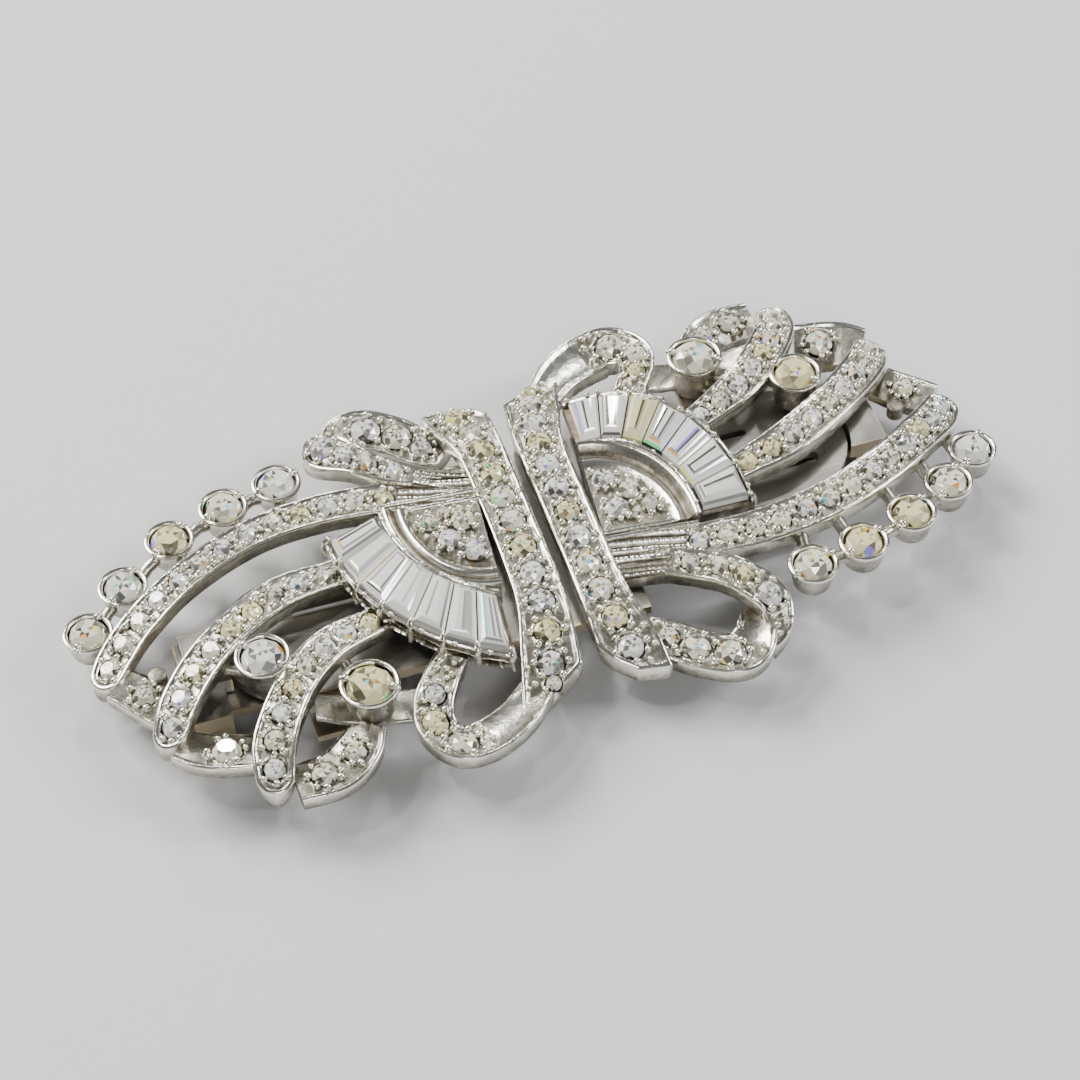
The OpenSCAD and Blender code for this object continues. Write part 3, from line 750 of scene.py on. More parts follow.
    def build(self, draft: Draft) -> None:
        """Adds the ribbon's closed shell.

        Args:
            draft: the mesh that takes it.
        """
        total = self.ribbon.lengths()[1][-1]
        run, narrow = self.rows(total)
        rows = len(run)
        point, left, half, _ = self.ribbon.at(run)
        edges = np.array([0, 0.03, 0.08, 0.16, 0.26, 0.34, 0.42, 0.5])
        inside = max(int(2 * (half.max() - 0.5) / GRID), 4)
        share = np.linspace(1, -1, inside + 2)[1:-1]
        h = half[:, None]
        x = np.concatenate([h - edges, share * (h - 0.5), edges[::-1] - h], 1) * narrow[:, None]
        cols = x.shape[1]
        base = point[:, None] + left[:, None] * x[..., None]
        flat = base.reshape(-1, 3)
        height, polish = self.top(flat, x.ravel(), np.repeat(half, cols), np.repeat(run, cols))
        top = base + UP * height.reshape(rows, cols, 1)
        deep = self.deep
        wall = np.array([(0, 0.25), (0.02, 0.44), (0.05, 0.62), (0.09, 0.8), (0.14, 0.94), (0.3, 1)])
        under = np.array([0.6, 0.2, -0.2, -0.6])
        x_low = np.concatenate([-(h - wall[:, 0]), -under * (h - 0.3), h - wall[::-1, 0]], 1)
        x_low = x_low * narrow[:, None]
        z_low = -deep * np.concatenate([wall[:, 1], [1, 0.93, 0.93, 1], wall[::-1, 1]])
        low = point[:, None] + left[:, None] * x_low[..., None] + UP * z_low[None, :, None]
        rng = np.random.default_rng(self.seed + 5)
        low[:, 1:5, :2] += left[:, None, :2] * (wobble(run, rng, 0.05) * narrow)[:, None, None]
        # The walls get darker towards the underside: tarnish and painted shade
        wall_polish_and_shade = np.array([0.75, 0.55, 0.42, 0.34, 0.3, 0.4])
        low_polish_and_shade = np.tile(np.concatenate([wall_polish_and_shade, [0.3] * 4, wall_polish_and_shade[::-1]]), (rows, 1))
        ring = np.concatenate([top, low], 1)
        polish = np.concatenate([polish.reshape(rows, cols), low_polish_and_shade], 1)
        draft.shell(ring.reshape(-1, 3), tube_faces(rows, ring.shape[1]), polish.ravel())

    def grains(self, draft: Draft) -> None:
        """Adds the grains that hold the stones, where they have room between the rims.

        Args:
            draft: the mesh that takes them.
        """
        if not self.seats:
            return
        samples = np.linspace(0, self.ribbon.lengths()[1][-1], 200)
        point, left, half, _ = self.ribbon.at(samples)

        def fits(spot: np.ndarray) -> bool:
            """Whether a grain may stand at a point.

            Args:
                spot: the point.

            Returns:
                Whether it lies on the floor, clear of rims, cuts and ends.
            """
            i = int(np.argmin(np.linalg.norm(point - spot, axis=1)))
            x = float((spot - point[i]) @ left[i])
            rim = S.rim_w if self.section is not Section.LOBE or x > 0 else 0.1
            room = half[i] - rim - 0.08
            clear = all((spot - co) @ no < -S.rim_w for co, no in self.cuts)
            return clear and abs(x) < room and 0.4 < samples[i] < samples[-1] - 0.5

        last = 0 if self.section is Section.LOBE else len(samples)
        rng = np.random.default_rng(self.seed + 70)
        filling = []
        for i in range(0, last, 2):
            if samples[i] / samples[-1] > self.plain_until:
                side = rng.uniform(-1, 1, 3)[:, None] * (half[i] - S.rim_w) * left[i]
                filling += list(point[i] + side - UP * (S.channel_d - GEM_LIFT * S.seat_gap))
        set_grains(draft, self.seats, fits, self.seed, filling)


def set_grains(
    draft: Draft,
    seats: list[Seat],
    fits: Callable[[np.ndarray], bool],
    seed: int,
    filling: list[np.ndarray],
) -> None:
    """Adds grains of metal round stones and on the free floor between them, clear of each other.

    Args:
        draft: the mesh that takes them.
        seats: the stones' seats.
        fits: tells whether a grain may stand at a point.
        seed: seed of their places and sizes.
        filling: points of the floor that get a grain where they are still free.
    """
    rng = np.random.default_rng(seed + 9)
    spots: list[tuple[np.ndarray, float]] = []

    def add(spot: np.ndarray, size: float, up: np.ndarray) -> None:
        """Adds one grain, if its place is free.

        Args:
            spot: its place on the floor.
            size: its radius.
            up: direction in which it stands.
        """
        alone = all(np.linalg.norm(spot - q) > size + r + 0.03 for q, r in spots)
        free = all(np.linalg.norm(spot - o.centre) > o.diameter / 2 + size * 0.6 for o in seats)
        if alone and free and fits(spot):
            spots.append((spot, size))
            ball(draft, spot + up * (S.channel_d - 0.17 + rng.uniform(-0.03, 0.03)), size, n=12)

    for seat in seats:
        side = unit(seat.left)
        ahead = np.cross(side, seat.up)
        for turn in (45, 135, 225, 315, 90, 270, 0, 180, 20, 70, 110, 160, 200, 250, 290, 340):
            a = math.radians(turn + rng.uniform(-11, 11))
            size = rng.uniform(0.27, 0.35)
            reach = seat.diameter / 2 + size * 0.72 + 0.03
            add(seat.centre + (ahead * math.cos(a) + side * math.sin(a)) * reach, size, seat.up)
    for spot in filling:
        add(spot, rng.uniform(0.22, 0.31), UP)


# Shading


@dataclass
class Socket:
    """A shader value that takes part in Python sums, each of which adds a Math node."""

    graph: "Graph"
    link: bpy.types.NodeSocket | float

    def _math(self, operation: str, a: "Socket | float", b: "Socket | float" = 0.0) -> "Socket":
        """One Math node."""
        return self.graph.node("ShaderNodeMath", {"operation": operation}, {0: a, 1: b})

    def __add__(self, other: "Socket | float") -> "Socket":
        """Sum."""
        return self._math("ADD", self, other)

    def __radd__(self, other: float) -> "Socket":
        """Sum, with the number first."""
        return self._math("ADD", other, self)

    def __sub__(self, other: "Socket | float") -> "Socket":
        """Difference."""
        return self._math("SUBTRACT", self, other)

    def __rsub__(self, other: float) -> "Socket":
        """Difference, with the number first."""
        return self._math("SUBTRACT", other, self)

    def __mul__(self, other: "Socket | float") -> "Socket":
        """Product."""
        return self._math("MULTIPLY", self, other)

    def __rmul__(self, other: float) -> "Socket":
        """Product, with the number first."""
        return self._math("MULTIPLY", other, self)

    def most(self, other: "Socket | float") -> "Socket":
        """The larger of two values."""
        return self._math("MAXIMUM", self, other)

    def eased(self, low: float, high: float) -> "Socket":
        """Smooth step from 0 at low to 1 at high."""
        inputs = {0: self, 1: low, 2: high, 3: 0.0, 4: 1.0}
        return self.graph.node("ShaderNodeMapRange", {"interpolation_type": "SMOOTHSTEP"}, inputs)


class Graph:
    """Node tree of one material, with its shader and its output."""

    def __init__(self, name: str) -> None:
        """Starts an empty tree for a new material.

        Args:
            name: the material's name.
        """
        self.material = bpy.data.materials.new(name)
        self.material.use_nodes = True
        self.tree = self.material.node_tree
        self.tree.nodes.clear()

    def node(
        self, kind: str, settings: dict | None = None, inputs: dict | None = None, output: int | str = 0
    ) -> Socket:
        """Adds a node.

        Args:
            kind: the node's type.
            settings: its own properties, set first.
            inputs: values or links of its sockets, by name or number.
            output: the socket that is wanted.

        Returns:
            That output.
        """
        made = self.tree.nodes.new(kind)
        for key, value in (settings or {}).items():
            setattr(made, key, value)
        for key, value in (inputs or {}).items():
            if isinstance(value, Socket):
                self.tree.links.new(value.link, made.inputs[key])
            else:
                made.inputs[key].default_value = value
        return Socket(self, made.outputs[output])

    def mix(self, share: Socket, a: "Colour | Socket", b: "Colour | Socket") -> Socket:
        """Mixes two colours by a share.

        Args:
            share: how much of the second one.
            a: the first colour.
            b: the second one.

        Returns:
            The mixed colour.
        """
        pair = [v if isinstance(v, Socket) else (*v, 1.0) for v in (a, b)]
        inputs = {0: share, 6: pair[0], 7: pair[1]}
        return self.node("ShaderNodeMix", {"data_type": "RGBA"}, inputs, 2)

    def place(self) -> Socket:
        """Position in the row's frame, in metres."""
        return self.node("ShaderNodeTexCoord", output="Object")

    def noise(self, scale: float, detail: float, stretch: tuple[float, ...] | None = None) -> Socket:
        """Noise over the piece.

        Args:
            scale: its scale per metre.
            detail: how many finer layers it has.
            stretch: factor of each axis, for a brushed grain.

        Returns:
            The noise, from 0 to 1.
        """
        where = self.place()
        if stretch:
            times = {"operation": "MULTIPLY"}
            where = self.node("ShaderNodeVectorMath", times, {0: where, 1: stretch})
        inputs = {"Vector": where, "Scale": scale, "Detail": detail}
        return self.node("ShaderNodeTexNoise", None, inputs)

    def shader(
        self, fixed: dict, varying: dict, bump: tuple[Socket, float] | None = None
    ) -> bpy.types.Material:
        """Ends the tree in the Principled shader.

        Args:
            fixed: values of its sockets that are the same all over.
            varying: links of the sockets that change over the surface.
            bump: height in metres and its strength, for the normal.

        Returns:
            The finished material.
        """
        inputs = {**fixed, **varying}
        if bump:
            settings = {"Strength": bump[1], "Distance": 0.0001, "Height": bump[0]}
            inputs["Normal"] = self.node("ShaderNodeBump", None, settings)
        made = self.node("ShaderNodeBsdfPrincipled", None, inputs)
        out = self.tree.nodes.new("ShaderNodeOutputMaterial")
        self.tree.links.new(made.link, out.inputs["Surface"])
        return self.material


@dataclass(frozen=True)
class CastWhiteMetal:
    """Plated white metal: bright on worn rims, dark grey-brown where the cloth can't reach, in the hollows
    and round the stones' seats, which is tarnish and painted shade.
    """

    bright: Colour = (0.86, 0.835, 0.735)
    # Dark grey-brown of tarnish, which also stands in as painted shade in the hollows and seats
    tarnish_and_shade: Colour = (0.12, 0.1, 0.07)

    def material(self) -> bpy.types.Material:
        """The finish as a material.

        Returns:
            The material.
        """
        g = Graph("cast_white_metal")
        polish = g.node("ShaderNodeAttribute", {"attribute_name": "polish"}, output="Fac")
        patches = g.noise(900, 4)
        fine = g.noise(5200, 2)
        # worn follows the vertex polish, which is low in hollows and seats: the dark colour there is
        # tarnish and painted shade
        worn = (polish + (patches - 0.5) * 0.75 + (fine - 0.5) * 0.4).eased(0.02, 0.92)
        rough = 0.42 - worn * 0.22 + (fine - 0.5) * 0.14
        return g.shader(
            {"Metallic": 1.0},
            {"Base Color": g.mix(worn, self.tarnish_and_shade, self.bright), "Roughness": rough},
            (g.noise(2600, 4), 0.3),
        )


@dataclass(frozen=True)
class PasteGlass:
    """Foil-backed paste: glossy facets whose tints hold the body colour and painted reflections and
    sparkle.
    """

    dulled: Colour = (0.6, 0.57, 0.46)

    def material(self) -> bpy.types.Material:
        """The finish as a material.

        Returns:
            The material.
        """
        g = Graph("foiled_paste")
        # Each facet's tint is its body colour at a painted brightness: painted reflection and sparkle
        tint = g.node("ShaderNodeAttribute", {"attribute_name": "tint"}, output="Color")
        cloud = g.noise(1500, 2).eased(0.55, 0.8) * 0.18
        rough = 0.04 + cloud * 0.5
        coat = {"Coat Weight": 1.0, "Coat Roughness": 0.03, "Coat IOR": 1.6}
        return g.shader(
            {"Metallic": 0.12, "IOR": 1.62, **coat},
            {"Base Color": g.mix(cloud, tint, self.dulled), "Roughness": rough},
        )


@dataclass(frozen=True)
class SatinNickel:
    """Stamped plate with a brushed satin face, kept dark as painted shade, and brassy wear on its edges."""

    name: str
    # The face colour is darkened as painted shade, for the shadow that the plates lie in under the clips
    face: Colour = (0.4, 0.39, 0.365)
    worn: Colour = (0.58, 0.49, 0.34)
    stained: Colour = (0.3, 0.27, 0.22)
    edge: float = 0.2
    grain: tuple[float, ...] = (0.08, 1.0, 1.0)

    def material(self, low: Vector, high: Vector) -> bpy.types.Material:
        """The finish as a material.

        Args:
            low: lowest corner of the piece, in metres.
            high: its highest corner.

        Returns:
            The material, with its edges worn.
        """
        g = Graph(self.name)
        place = g.place()
        axes = [g.node("ShaderNodeSeparateXYZ", None, {0: place}, i) for i in range(2)]
        edge = self.edge * MM
        rim = (axes[0] * -1.0 + (low.x + edge)).most(axes[0] - (high.x - edge))
        rim = rim.most(axes[1] * -1.0 + (low.y + edge)).most(axes[1] - (high.y - edge))
        brushed = g.noise(5200, 3, self.grain)
        stain = g.noise(420, 4)
        brass = ((rim * (1 / edge)) + (stain - 0.5) * 0.8).eased(-0.1, 0.5)
        dull = stain.eased(0.45, 0.75) * 0.45
        colour = g.mix(brass, g.mix(dull, self.face, self.stained), self.worn)
        rough = 0.3 + brushed * 0.22 - brass * 0.1
        return g.shader({"Metallic": 1.0}, {"Base Color": colour, "Roughness": rough}, (brushed, 0.2))


@dataclass(frozen=True)
class PaleFloor:
    """Matt pale surface that the brooch lies on."""

    tone: Colour = (0.7, 0.7, 0.705)

    def material(self) -> bpy.types.Material:
        """The finish as a material.

        Returns:
            The material.
        """
        g = Graph("pale_floor")
        speck = g.noise(1400, 2)
        colour = g.mix(speck, tuple(c * 0.97 for c in self.tone), self.tone)
        return g.shader({"Roughness": 0.62, "Specular IOR Level": 0.3}, {"Base Color": colour})


@dataclass
class Finishes:
    """The finishes that several pieces share."""

    metal: bpy.types.Material
    paste: bpy.types.Material


class Kit:
    """Makes pieces of a clip, rides them on the clip's body and hides the CAD nodes that they stand for."""

    def __init__(self, side: Side, finishes: Finishes) -> None:
        """Keeps the clip's side and its finishes.

        Args:
            side: the clip that it works on.
            finishes: what its pieces are made of.
        """
        self.side = side
        self.finishes = finishes

    def piece(self, name: str, draft: Draft, slot: Slot, *nodes: str) -> bpy.types.Object:
        """Makes an object from a draft, rides it on the clip and replaces nodes with it.

        Args:
            name: the piece's name, without its side.
            draft: its shells.
            slot: the record's slot that it takes its finish from.
            nodes: the CAD nodes that it stands for, without their side.

        Returns:
            The object.
        """
        full = f"{name}_{self.side.label}"
        mesh = draft.mesh(full, self.side.turn, slot is not Slot.STONES)
        return self.place(full, mesh, slot, *nodes)

    def place(self, full: str, mesh: bpy.types.Mesh, slot: Slot, *nodes: str) -> bpy.types.Object:
        """Args:
            full: the piece's name.
            mesh: its mesh.
            slot: the record's slot that it takes its finish from.
            nodes: the CAD nodes that it stands for, without their side.

        Returns:
            The object.
        """
        mesh.materials.append(self.finishes.paste if slot is Slot.STONES else self.finishes.metal)
        made = bpy.data.objects.new(full, mesh)
        bpy.context.scene.collection.objects.link(made)
        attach(made, f"clip_{self.side.label}")
        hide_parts(*(f"{n}_{self.side.label}" for n in nodes))
        log.info("%s: %d faces", full, len(mesh.polygons))
        return made


# The cast metal


@dataclass
class SeamBand:
    """The band along the seam, with its oblique ends."""

    count: int = 11
    first: float = 2.6
    last: float = 3.9

    def seats(self) -> list[Seat]:
        """Seats of its stones."""
        row = SEAM_BAND.seats(self.count, self.first, self.last, S.band_gem_d)
        return row + SEAM_BAND.gem_seats(BAND_GEMS)

    def planes(self) -> list[tuple[np.ndarray, np.ndarray]]:
        """Planes that cut the band: a point and the outward direction of each.

        Returns:
            The seam's plane and those of the oblique ends.
        """
        planes = [(np.array([S.seam_gap / 2, 0, 0]), np.array([-1.0, 0, 0]))]
        for a, b in BAND_CUTS:
            p, q = S.place((*a, 0)), S.place((*b, 0))
            t = unit(q - p)
            planes.append((p, np.array([t[1], -t[0], 0])))
        return planes

    def build(self, kit: Kit) -> None:
        """Builds the band and cuts its ends.

        Args:
            kit: makes the clip's pieces.
        """
        planes = self.planes()
        form = RibbonForm(SEAM_BAND, seats=self.seats(), cuts=tuple(planes), seed=21)
        draft = Draft()
        form.build(draft)
        mesh = draft.mesh(f"seam_band_{kit.side.label}", Matrix.Identity(4), False)
        bm = bmesh.new()
        bm.from_mesh(mesh)
        for co, no in planes:
            cut = bmesh.ops.bisect_plane(
                bm, geom=bm.verts[:] + bm.edges[:] + bm.faces[:], dist=1e-7,
                plane_co=co * MM, plane_no=no, clear_outer=True,
            )
            made = [e for e in cut["geom_cut"] if isinstance(e, bmesh.types.BMEdge)]
            rim = [e for e in made if e.is_boundary]
            if rim:
                bmesh.ops.holes_fill(bm, edges=rim, sides=0)
        bm.to_mesh(mesh)
        bm.free()
        mesh.transform(kit.side.turn)
        shade_smooth(mesh)
        kit.place(mesh.name, mesh, Slot.CASTING, "clip_casting")
        grains = Draft()
        form.grains(grains)
        kit.piece("seam_band_grains", grains, Slot.CASTING, "clip_casting")


@dataclass
class Rays:
    """The three arching rays, and the fluted roots of the outer ray and the fold."""

    rows: tuple = ((OUTER_RAY, 13, 1.2, 1.7), (MIDDLE_RAY, 9, 1.2, 1.7), (INNER_RAY, 8, 1.2, 1.9))
    tip: float = 1.35

    def build(self, kit: Kit) -> None:
        """Builds the rays with their grains.

        Args:
            kit: makes the clip's pieces.
        """
        draft = Draft()
        for i, (ribbon, *margins) in enumerate(self.rows):
            form = RibbonForm(ribbon, seats=ribbon.seats(*margins), tip=self.tip, seed=31 + i)
            form.build(draft)
            form.grains(draft)
        RibbonForm(OUTER_ROOT, Section.FLUTES, flutes=4, seed=41).build(draft)
        RibbonForm(FOLD_ROOT, Section.FLUTES, flutes=5, seed=42).build(draft)
        kit.piece("rays", draft, Slot.CASTING, "clip_casting")


@dataclass
class Scrolls:
    """The folded ribbon with its tucked leaf, the loop with its web, and the scallops."""

    scallops: tuple = tuple(zip((SCALLOP_1, SCALLOP_2, SCALLOP_3), LOBE_GEMS))

    def build(self, kit: Kit) -> None:
        """Builds the ribbons with their grains.

        Args:
            kit: makes the clip's pieces.
        """
        draft = Draft()
        fold, tuck, loop = FOLD.gem_seats(FOLD_GEMS), TUCK.gem_seats(TUCK_GEMS), LOOP.gem_seats(LOOP_GEMS)
        forms = [
            RibbonForm(FOLD, seats=fold, tip=2.6, seed=51),
            RibbonForm(TUCK, seats=tuck, plain_until=0.27, soft_start=1.9, seed=52),
            RibbonForm(LOOP, seats=loop, plain_until=0.34, seed=53),
            RibbonForm(WEB, Section.WEB, seed=54),
        ]
        for i, (ribbon, gems) in enumerate(self.scallops):
            forms.append(RibbonForm(ribbon, Section.LOBE, ribbon.gem_seats(gems), seed=55 + i))
        for form in forms:
            form.build(draft)
            form.grains(draft)
        kit.piece("scrolls", draft, Slot.CASTING, "clip_casting")


@dataclass
class HalfDome:
    """The half dome: a plateau with a rounded rim, a groove and the polished wall round it.

    Rows of the profile: share of the radius, height above the plateau, polish, which is low in the groove
    as painted shade.
    Rows of the bars: distance from the straight side, height above the plateau, radius.
    """

    steps: int = 44
    back: float = 0.45
    plateau: float = 0.72
    fill: int = 160
    # The groove is painted dark, as shade
    profile: tuple = (
        (0.02, -S.dome_t, 0.3), (1.0, -S.dome_t, 0.3), (1.0, 0, 0.5), (1.0, 0.6, 0.75),
        (0.993, 0.72, 1), (0.978, 0.78, 1), (0.96, 0.73, 0.95), (0.943, 0.52, 0.45),
        (0.915, 0.22, 0.2), (0.88, 0.02, 0.1), (0.86, 0.03, 0.25), (0.845, 0.16, 0.85),
        (0.825, 0.25, 1), (0.8, 0.25, 1), (0.775, 0.15, 0.95), (0.755, 0.02, 0.5),
        (0.72, -0.04, 0.4), (0.5, -0.02, 0.55), (0.25, -0.02, 0.55), (0.02, -0.02, 0.55),
    )
    bars: tuple = ((0.12, 0.06, 0.22), (-0.62, 0.2, 0.2))

    def build(self, kit: Kit) -> None:
        """Builds the dome, its bars and its grains.

        Args:
            kit: makes the clip's pieces.
        """
        draft = Draft()
        rx, ry = S.fan_in_x - S.wall_w, S.fan_in_y - S.wall_w
        angle = np.linspace(0, math.pi / 2, self.steps)
        wall_x, wall_y = rx + S.wall_w + self.back, ry + S.wall_w
        rows = []
        for share, lift, _ in self.profile:
            x, y = wall_x * share * np.cos(angle) - self.back, wall_y * share * np.sin(angle)
            rows.append(self.turned(np.stack([x, y, np.full(self.steps, S.dome_z + lift)], 1)))
        points = np.stack(rows, 1).reshape(-1, 3)
        polish = np.tile([p for *_, p in self.profile], self.steps)
        draft.shell(points, tube_faces(self.steps, len(self.profile)), polish)
        self.straight_edge(draft, rx)
        rng = np.random.default_rng(60)
        x, y = rng.uniform(0, rx, self.fill), rng.uniform(0, ry, self.fill)
        filling = self.turned(np.stack([x, y, np.full(self.fill, S.dome_z)], 1))
        set_grains(draft, self.seats(), self.on_plateau, 61, list(filling))
        kit.piece("half_dome", draft, Slot.CASTING, "clip_casting")

    @staticmethod
    def turned(points: np.ndarray) -> np.ndarray:
        """Points of the dome's own frame, turned and moved to its place.

        Args:
            points: the points, with the dome's centre at the origin.

        Returns:
            The points in the clip.
        """
        a = math.radians(S.dome_turn)
        cos, sin = math.cos(a), math.sin(a)
        turn = np.array([[cos, sin, 0], [-sin, cos, 0], [0, 0, 1]])
        return points @ turn + np.array([*S.dome_c, 0])

    @staticmethod
    def seats() -> list[Seat]:
        """Seats of its stones.

        Returns:
            The seats, on the plateau.
        """
        x, y = np.array([0.0, 1, 0]), np.array([1.0, 0, 0])
        places = [(S.place((a, b, 0)), d) for a, b, d in DOME_STONES]
        low = S.dome_z + S.seat_gap
        return [Seat(np.array([p[0], p[1], low]), x, y, S.pave_d * d / 100) for p, d in places]

    def on_plateau(self, spot: np.ndarray) -> bool:
        """Whether a point lies within the dome's rim.

        Args:
            spot: the point.

        Returns:
            Whether a grain may stand there.
        """
        a = math.radians(S.dome_turn)
        x, y = spot[0] - S.dome_c[0], spot[1] - S.dome_c[1]
        x, y = x * math.cos(a) + y * math.sin(a) + self.back, y * math.cos(a) - x * math.sin(a)
        across = math.hypot(x / (S.fan_in_x + self.back), y / S.fan_in_y)
        return across < self.plateau and y > 0.45 and x > 0.3

    def straight_edge(self, draft: Draft, rx: float) -> None:
        """Adds the polished bar along the dome's straight side, and the thin one in front of it.

        Args:
            draft: the mesh that takes them.
            rx: the dome's radius within its wall.
        """
        for y, lift, r in self.bars:
            x = np.linspace(-self.back - 0.2, rx - 0.2 + (S.wall_w if y < 0 else -0.9), 12)
            line = np.stack([x, np.full(12, y), np.full(12, S.dome_z + lift)], 1)
            rod(draft, self.turned(line), r, 1.0)


@dataclass
class FanGallery:
    """The fan's tray: its floor, its scalloped outer wall and the prongs.

    Rows of the section: share from the inner edge to the outer one, lift, polish; the floor under the
    stones is painted dark, as shade.
    Rows of a claw: share, lift, radius. Rows of the beads: share, radius.
    """

    steps: int = 170
    arch_steps: int = 16
    arch_top: float = 0.44
    # The tray's floor under the stones is painted dark, as shade
    section: tuple = (
        (0.0, -S.tray_t, 0.3), (0.0, 0.36, 0.8), (0.01, 0.42, 1), (S.fan_lip / 2, 0.44, 1),
        (S.fan_lip - 0.01, 0.42, 1), (S.fan_lip, 0, 0.1), (1 - S.fan_lip, 0, 0.1),
        (1 - S.fan_lip + 0.01, 0.42, 0.9), (1 - S.fan_lip / 2, 0.46, 1),
    )
    claw: tuple = (
        (1.0, -S.tray_t, 0.22), (1.015, -0.4, 0.27), (1.005, 0.2, 0.29),
        (0.975, 0.62, 0.28), (0.935, 0.86, 0.24), (0.9, 0.95, 0.15),
    )
    claw_tip: float = 0.26
    beads: tuple = ((0.975, 0.25), (0.03, 0.19))

    @staticmethod
    def row(angle: np.ndarray) -> np.ndarray:
        """Rows of the fan's table at any angle.

        Args:
            angle: degrees round the fan's centre.

        Returns:
            The rows (angle, inner height, outer height).
        """
        rows = np.array(FAN_ROWS, float)
        u = np.interp(angle, rows[:, 0], np.arange(len(rows)))
        return spline(rows, u)

    @classmethod
    def point(cls, angle: np.ndarray, share: np.ndarray, lift: np.ndarray) -> np.ndarray:
        """Points of the fan.

        Args:
            angle: degrees round the fan's centre.
            share: from 0 at the inner edge to 1 at the outer one.
            lift: height above the stones' seat.

        Returns:
            Points in millimetres.
        """
        angle, share, lift = (np.asarray(v, float) for v in np.broadcast_arrays(angle, share, lift))
        row = cls.row(angle.ravel())
        inner, outer = row[:, 1].reshape(angle.shape), row[:, 2].reshape(angle.shape)
        x, y = S.fan_xy(np.radians(angle), share)
        z = (inner + (outer - inner) * share) * S.crown_h / 100 - S.baguette_h + lift
        return np.stack([x, y, z], -1)

    @staticmethod
    def joints() -> np.ndarray:
        """Angles of the prongs, at the joints between the stones."""
        a0, a1 = FAN_ROWS[0][0] + 1.5, FAN_ROWS[-1][0] - 1.5
        return np.linspace(a0, a1, S.baguettes + 1)

    def build(self, kit: Kit) -> None:
        """Builds the tray, its prongs and its beads.

        Args:
            kit: makes the clip's pieces.
        """
        draft = Draft()
        angle = np.linspace(FAN_ROWS[0][0], FAN_ROWS[-1][0], self.steps)
        joints = self.joints()
        middle = (joints[:-1] + joints[1:]) / 2
        away = np.min(np.abs(angle[:, None] - middle[None]), axis=1) / (joints[1] - joints[0]) * 2
        rows, polish = [], []
        for a, off in zip(angle, away):
            share, lift, polish_and_shade_level = zip(*self.section, *self.arch(off))
            rows.append(self.point(np.full(len(share), a), np.array(share), np.array(lift)))
            polish += polish_and_shade_level
        faces = tube_faces(len(rows), len(rows[0]))
        draft.shell(np.concatenate(rows), faces, np.array(polish))
        for a in joints:
            self.prong(draft, float(a))
        for a in (joints[:-1] * 2 + joints[1:]) / 3:
            for share, r in self.beads:
                ball(draft, self.point(np.array([a]), np.array([share]), np.array([0.5]))[0], r)
        kit.piece("fan_gallery", draft, Slot.CASTING, "clip_casting")

    def arch(self, off: float) -> list[tuple[float, float, float]]:
        """Rows of the outer wall, which has an arched hollow behind each stone.

        Args:
            off: distance from a stone's middle, 1 at its joint.

        Returns:
            Rows (share, lift, polish) from the wall's top to its foot; the hollow is painted dark, as
            shade.
        """
        rows = []
        for z in np.linspace(self.arch_top, -S.tray_t, self.arch_steps):
            r = math.hypot(off / 0.86, (0.02 + S.tray_t * 0.45 + z) / (S.tray_t * 0.4))
            inside = 1 - float(ramp(np.array(r), 0.86, 1.0))
            rim = math.exp(-(((r - 1.08) / 0.12) ** 2))
            share = 1 - 0.055 * inside + 0.012 * rim - 0.01 * max(0.0, -z)
            foot = 0.12 * (off - 0.5) if z < -1 else 0
            # The hollow inside the arch is painted dark, as shade; its rim stays bright
            rows.append((share, z + foot, max(0.25, rim) * (1 - inside)))
        return rows

    def prong(self, draft: Draft, angle: float) -> None:
        """Adds one prong that bends over the corners of two stones.

        Args:
            draft: the mesh that takes it.
            angle: degrees round the fan's centre.
        """
        share, lift, radius = (np.array(v) for v in zip(*self.claw))
        path = self.point(np.full(len(share), angle), share, lift)
        rod(draft, path, radius, 0.95)
        ball(draft, path[4], self.claw_tip)


def level(v: np.ndarray) -> np.ndarray:
    """The level part of a vector, made 1 long."""
    return unit(np.array([v[0], v[1], 0]))


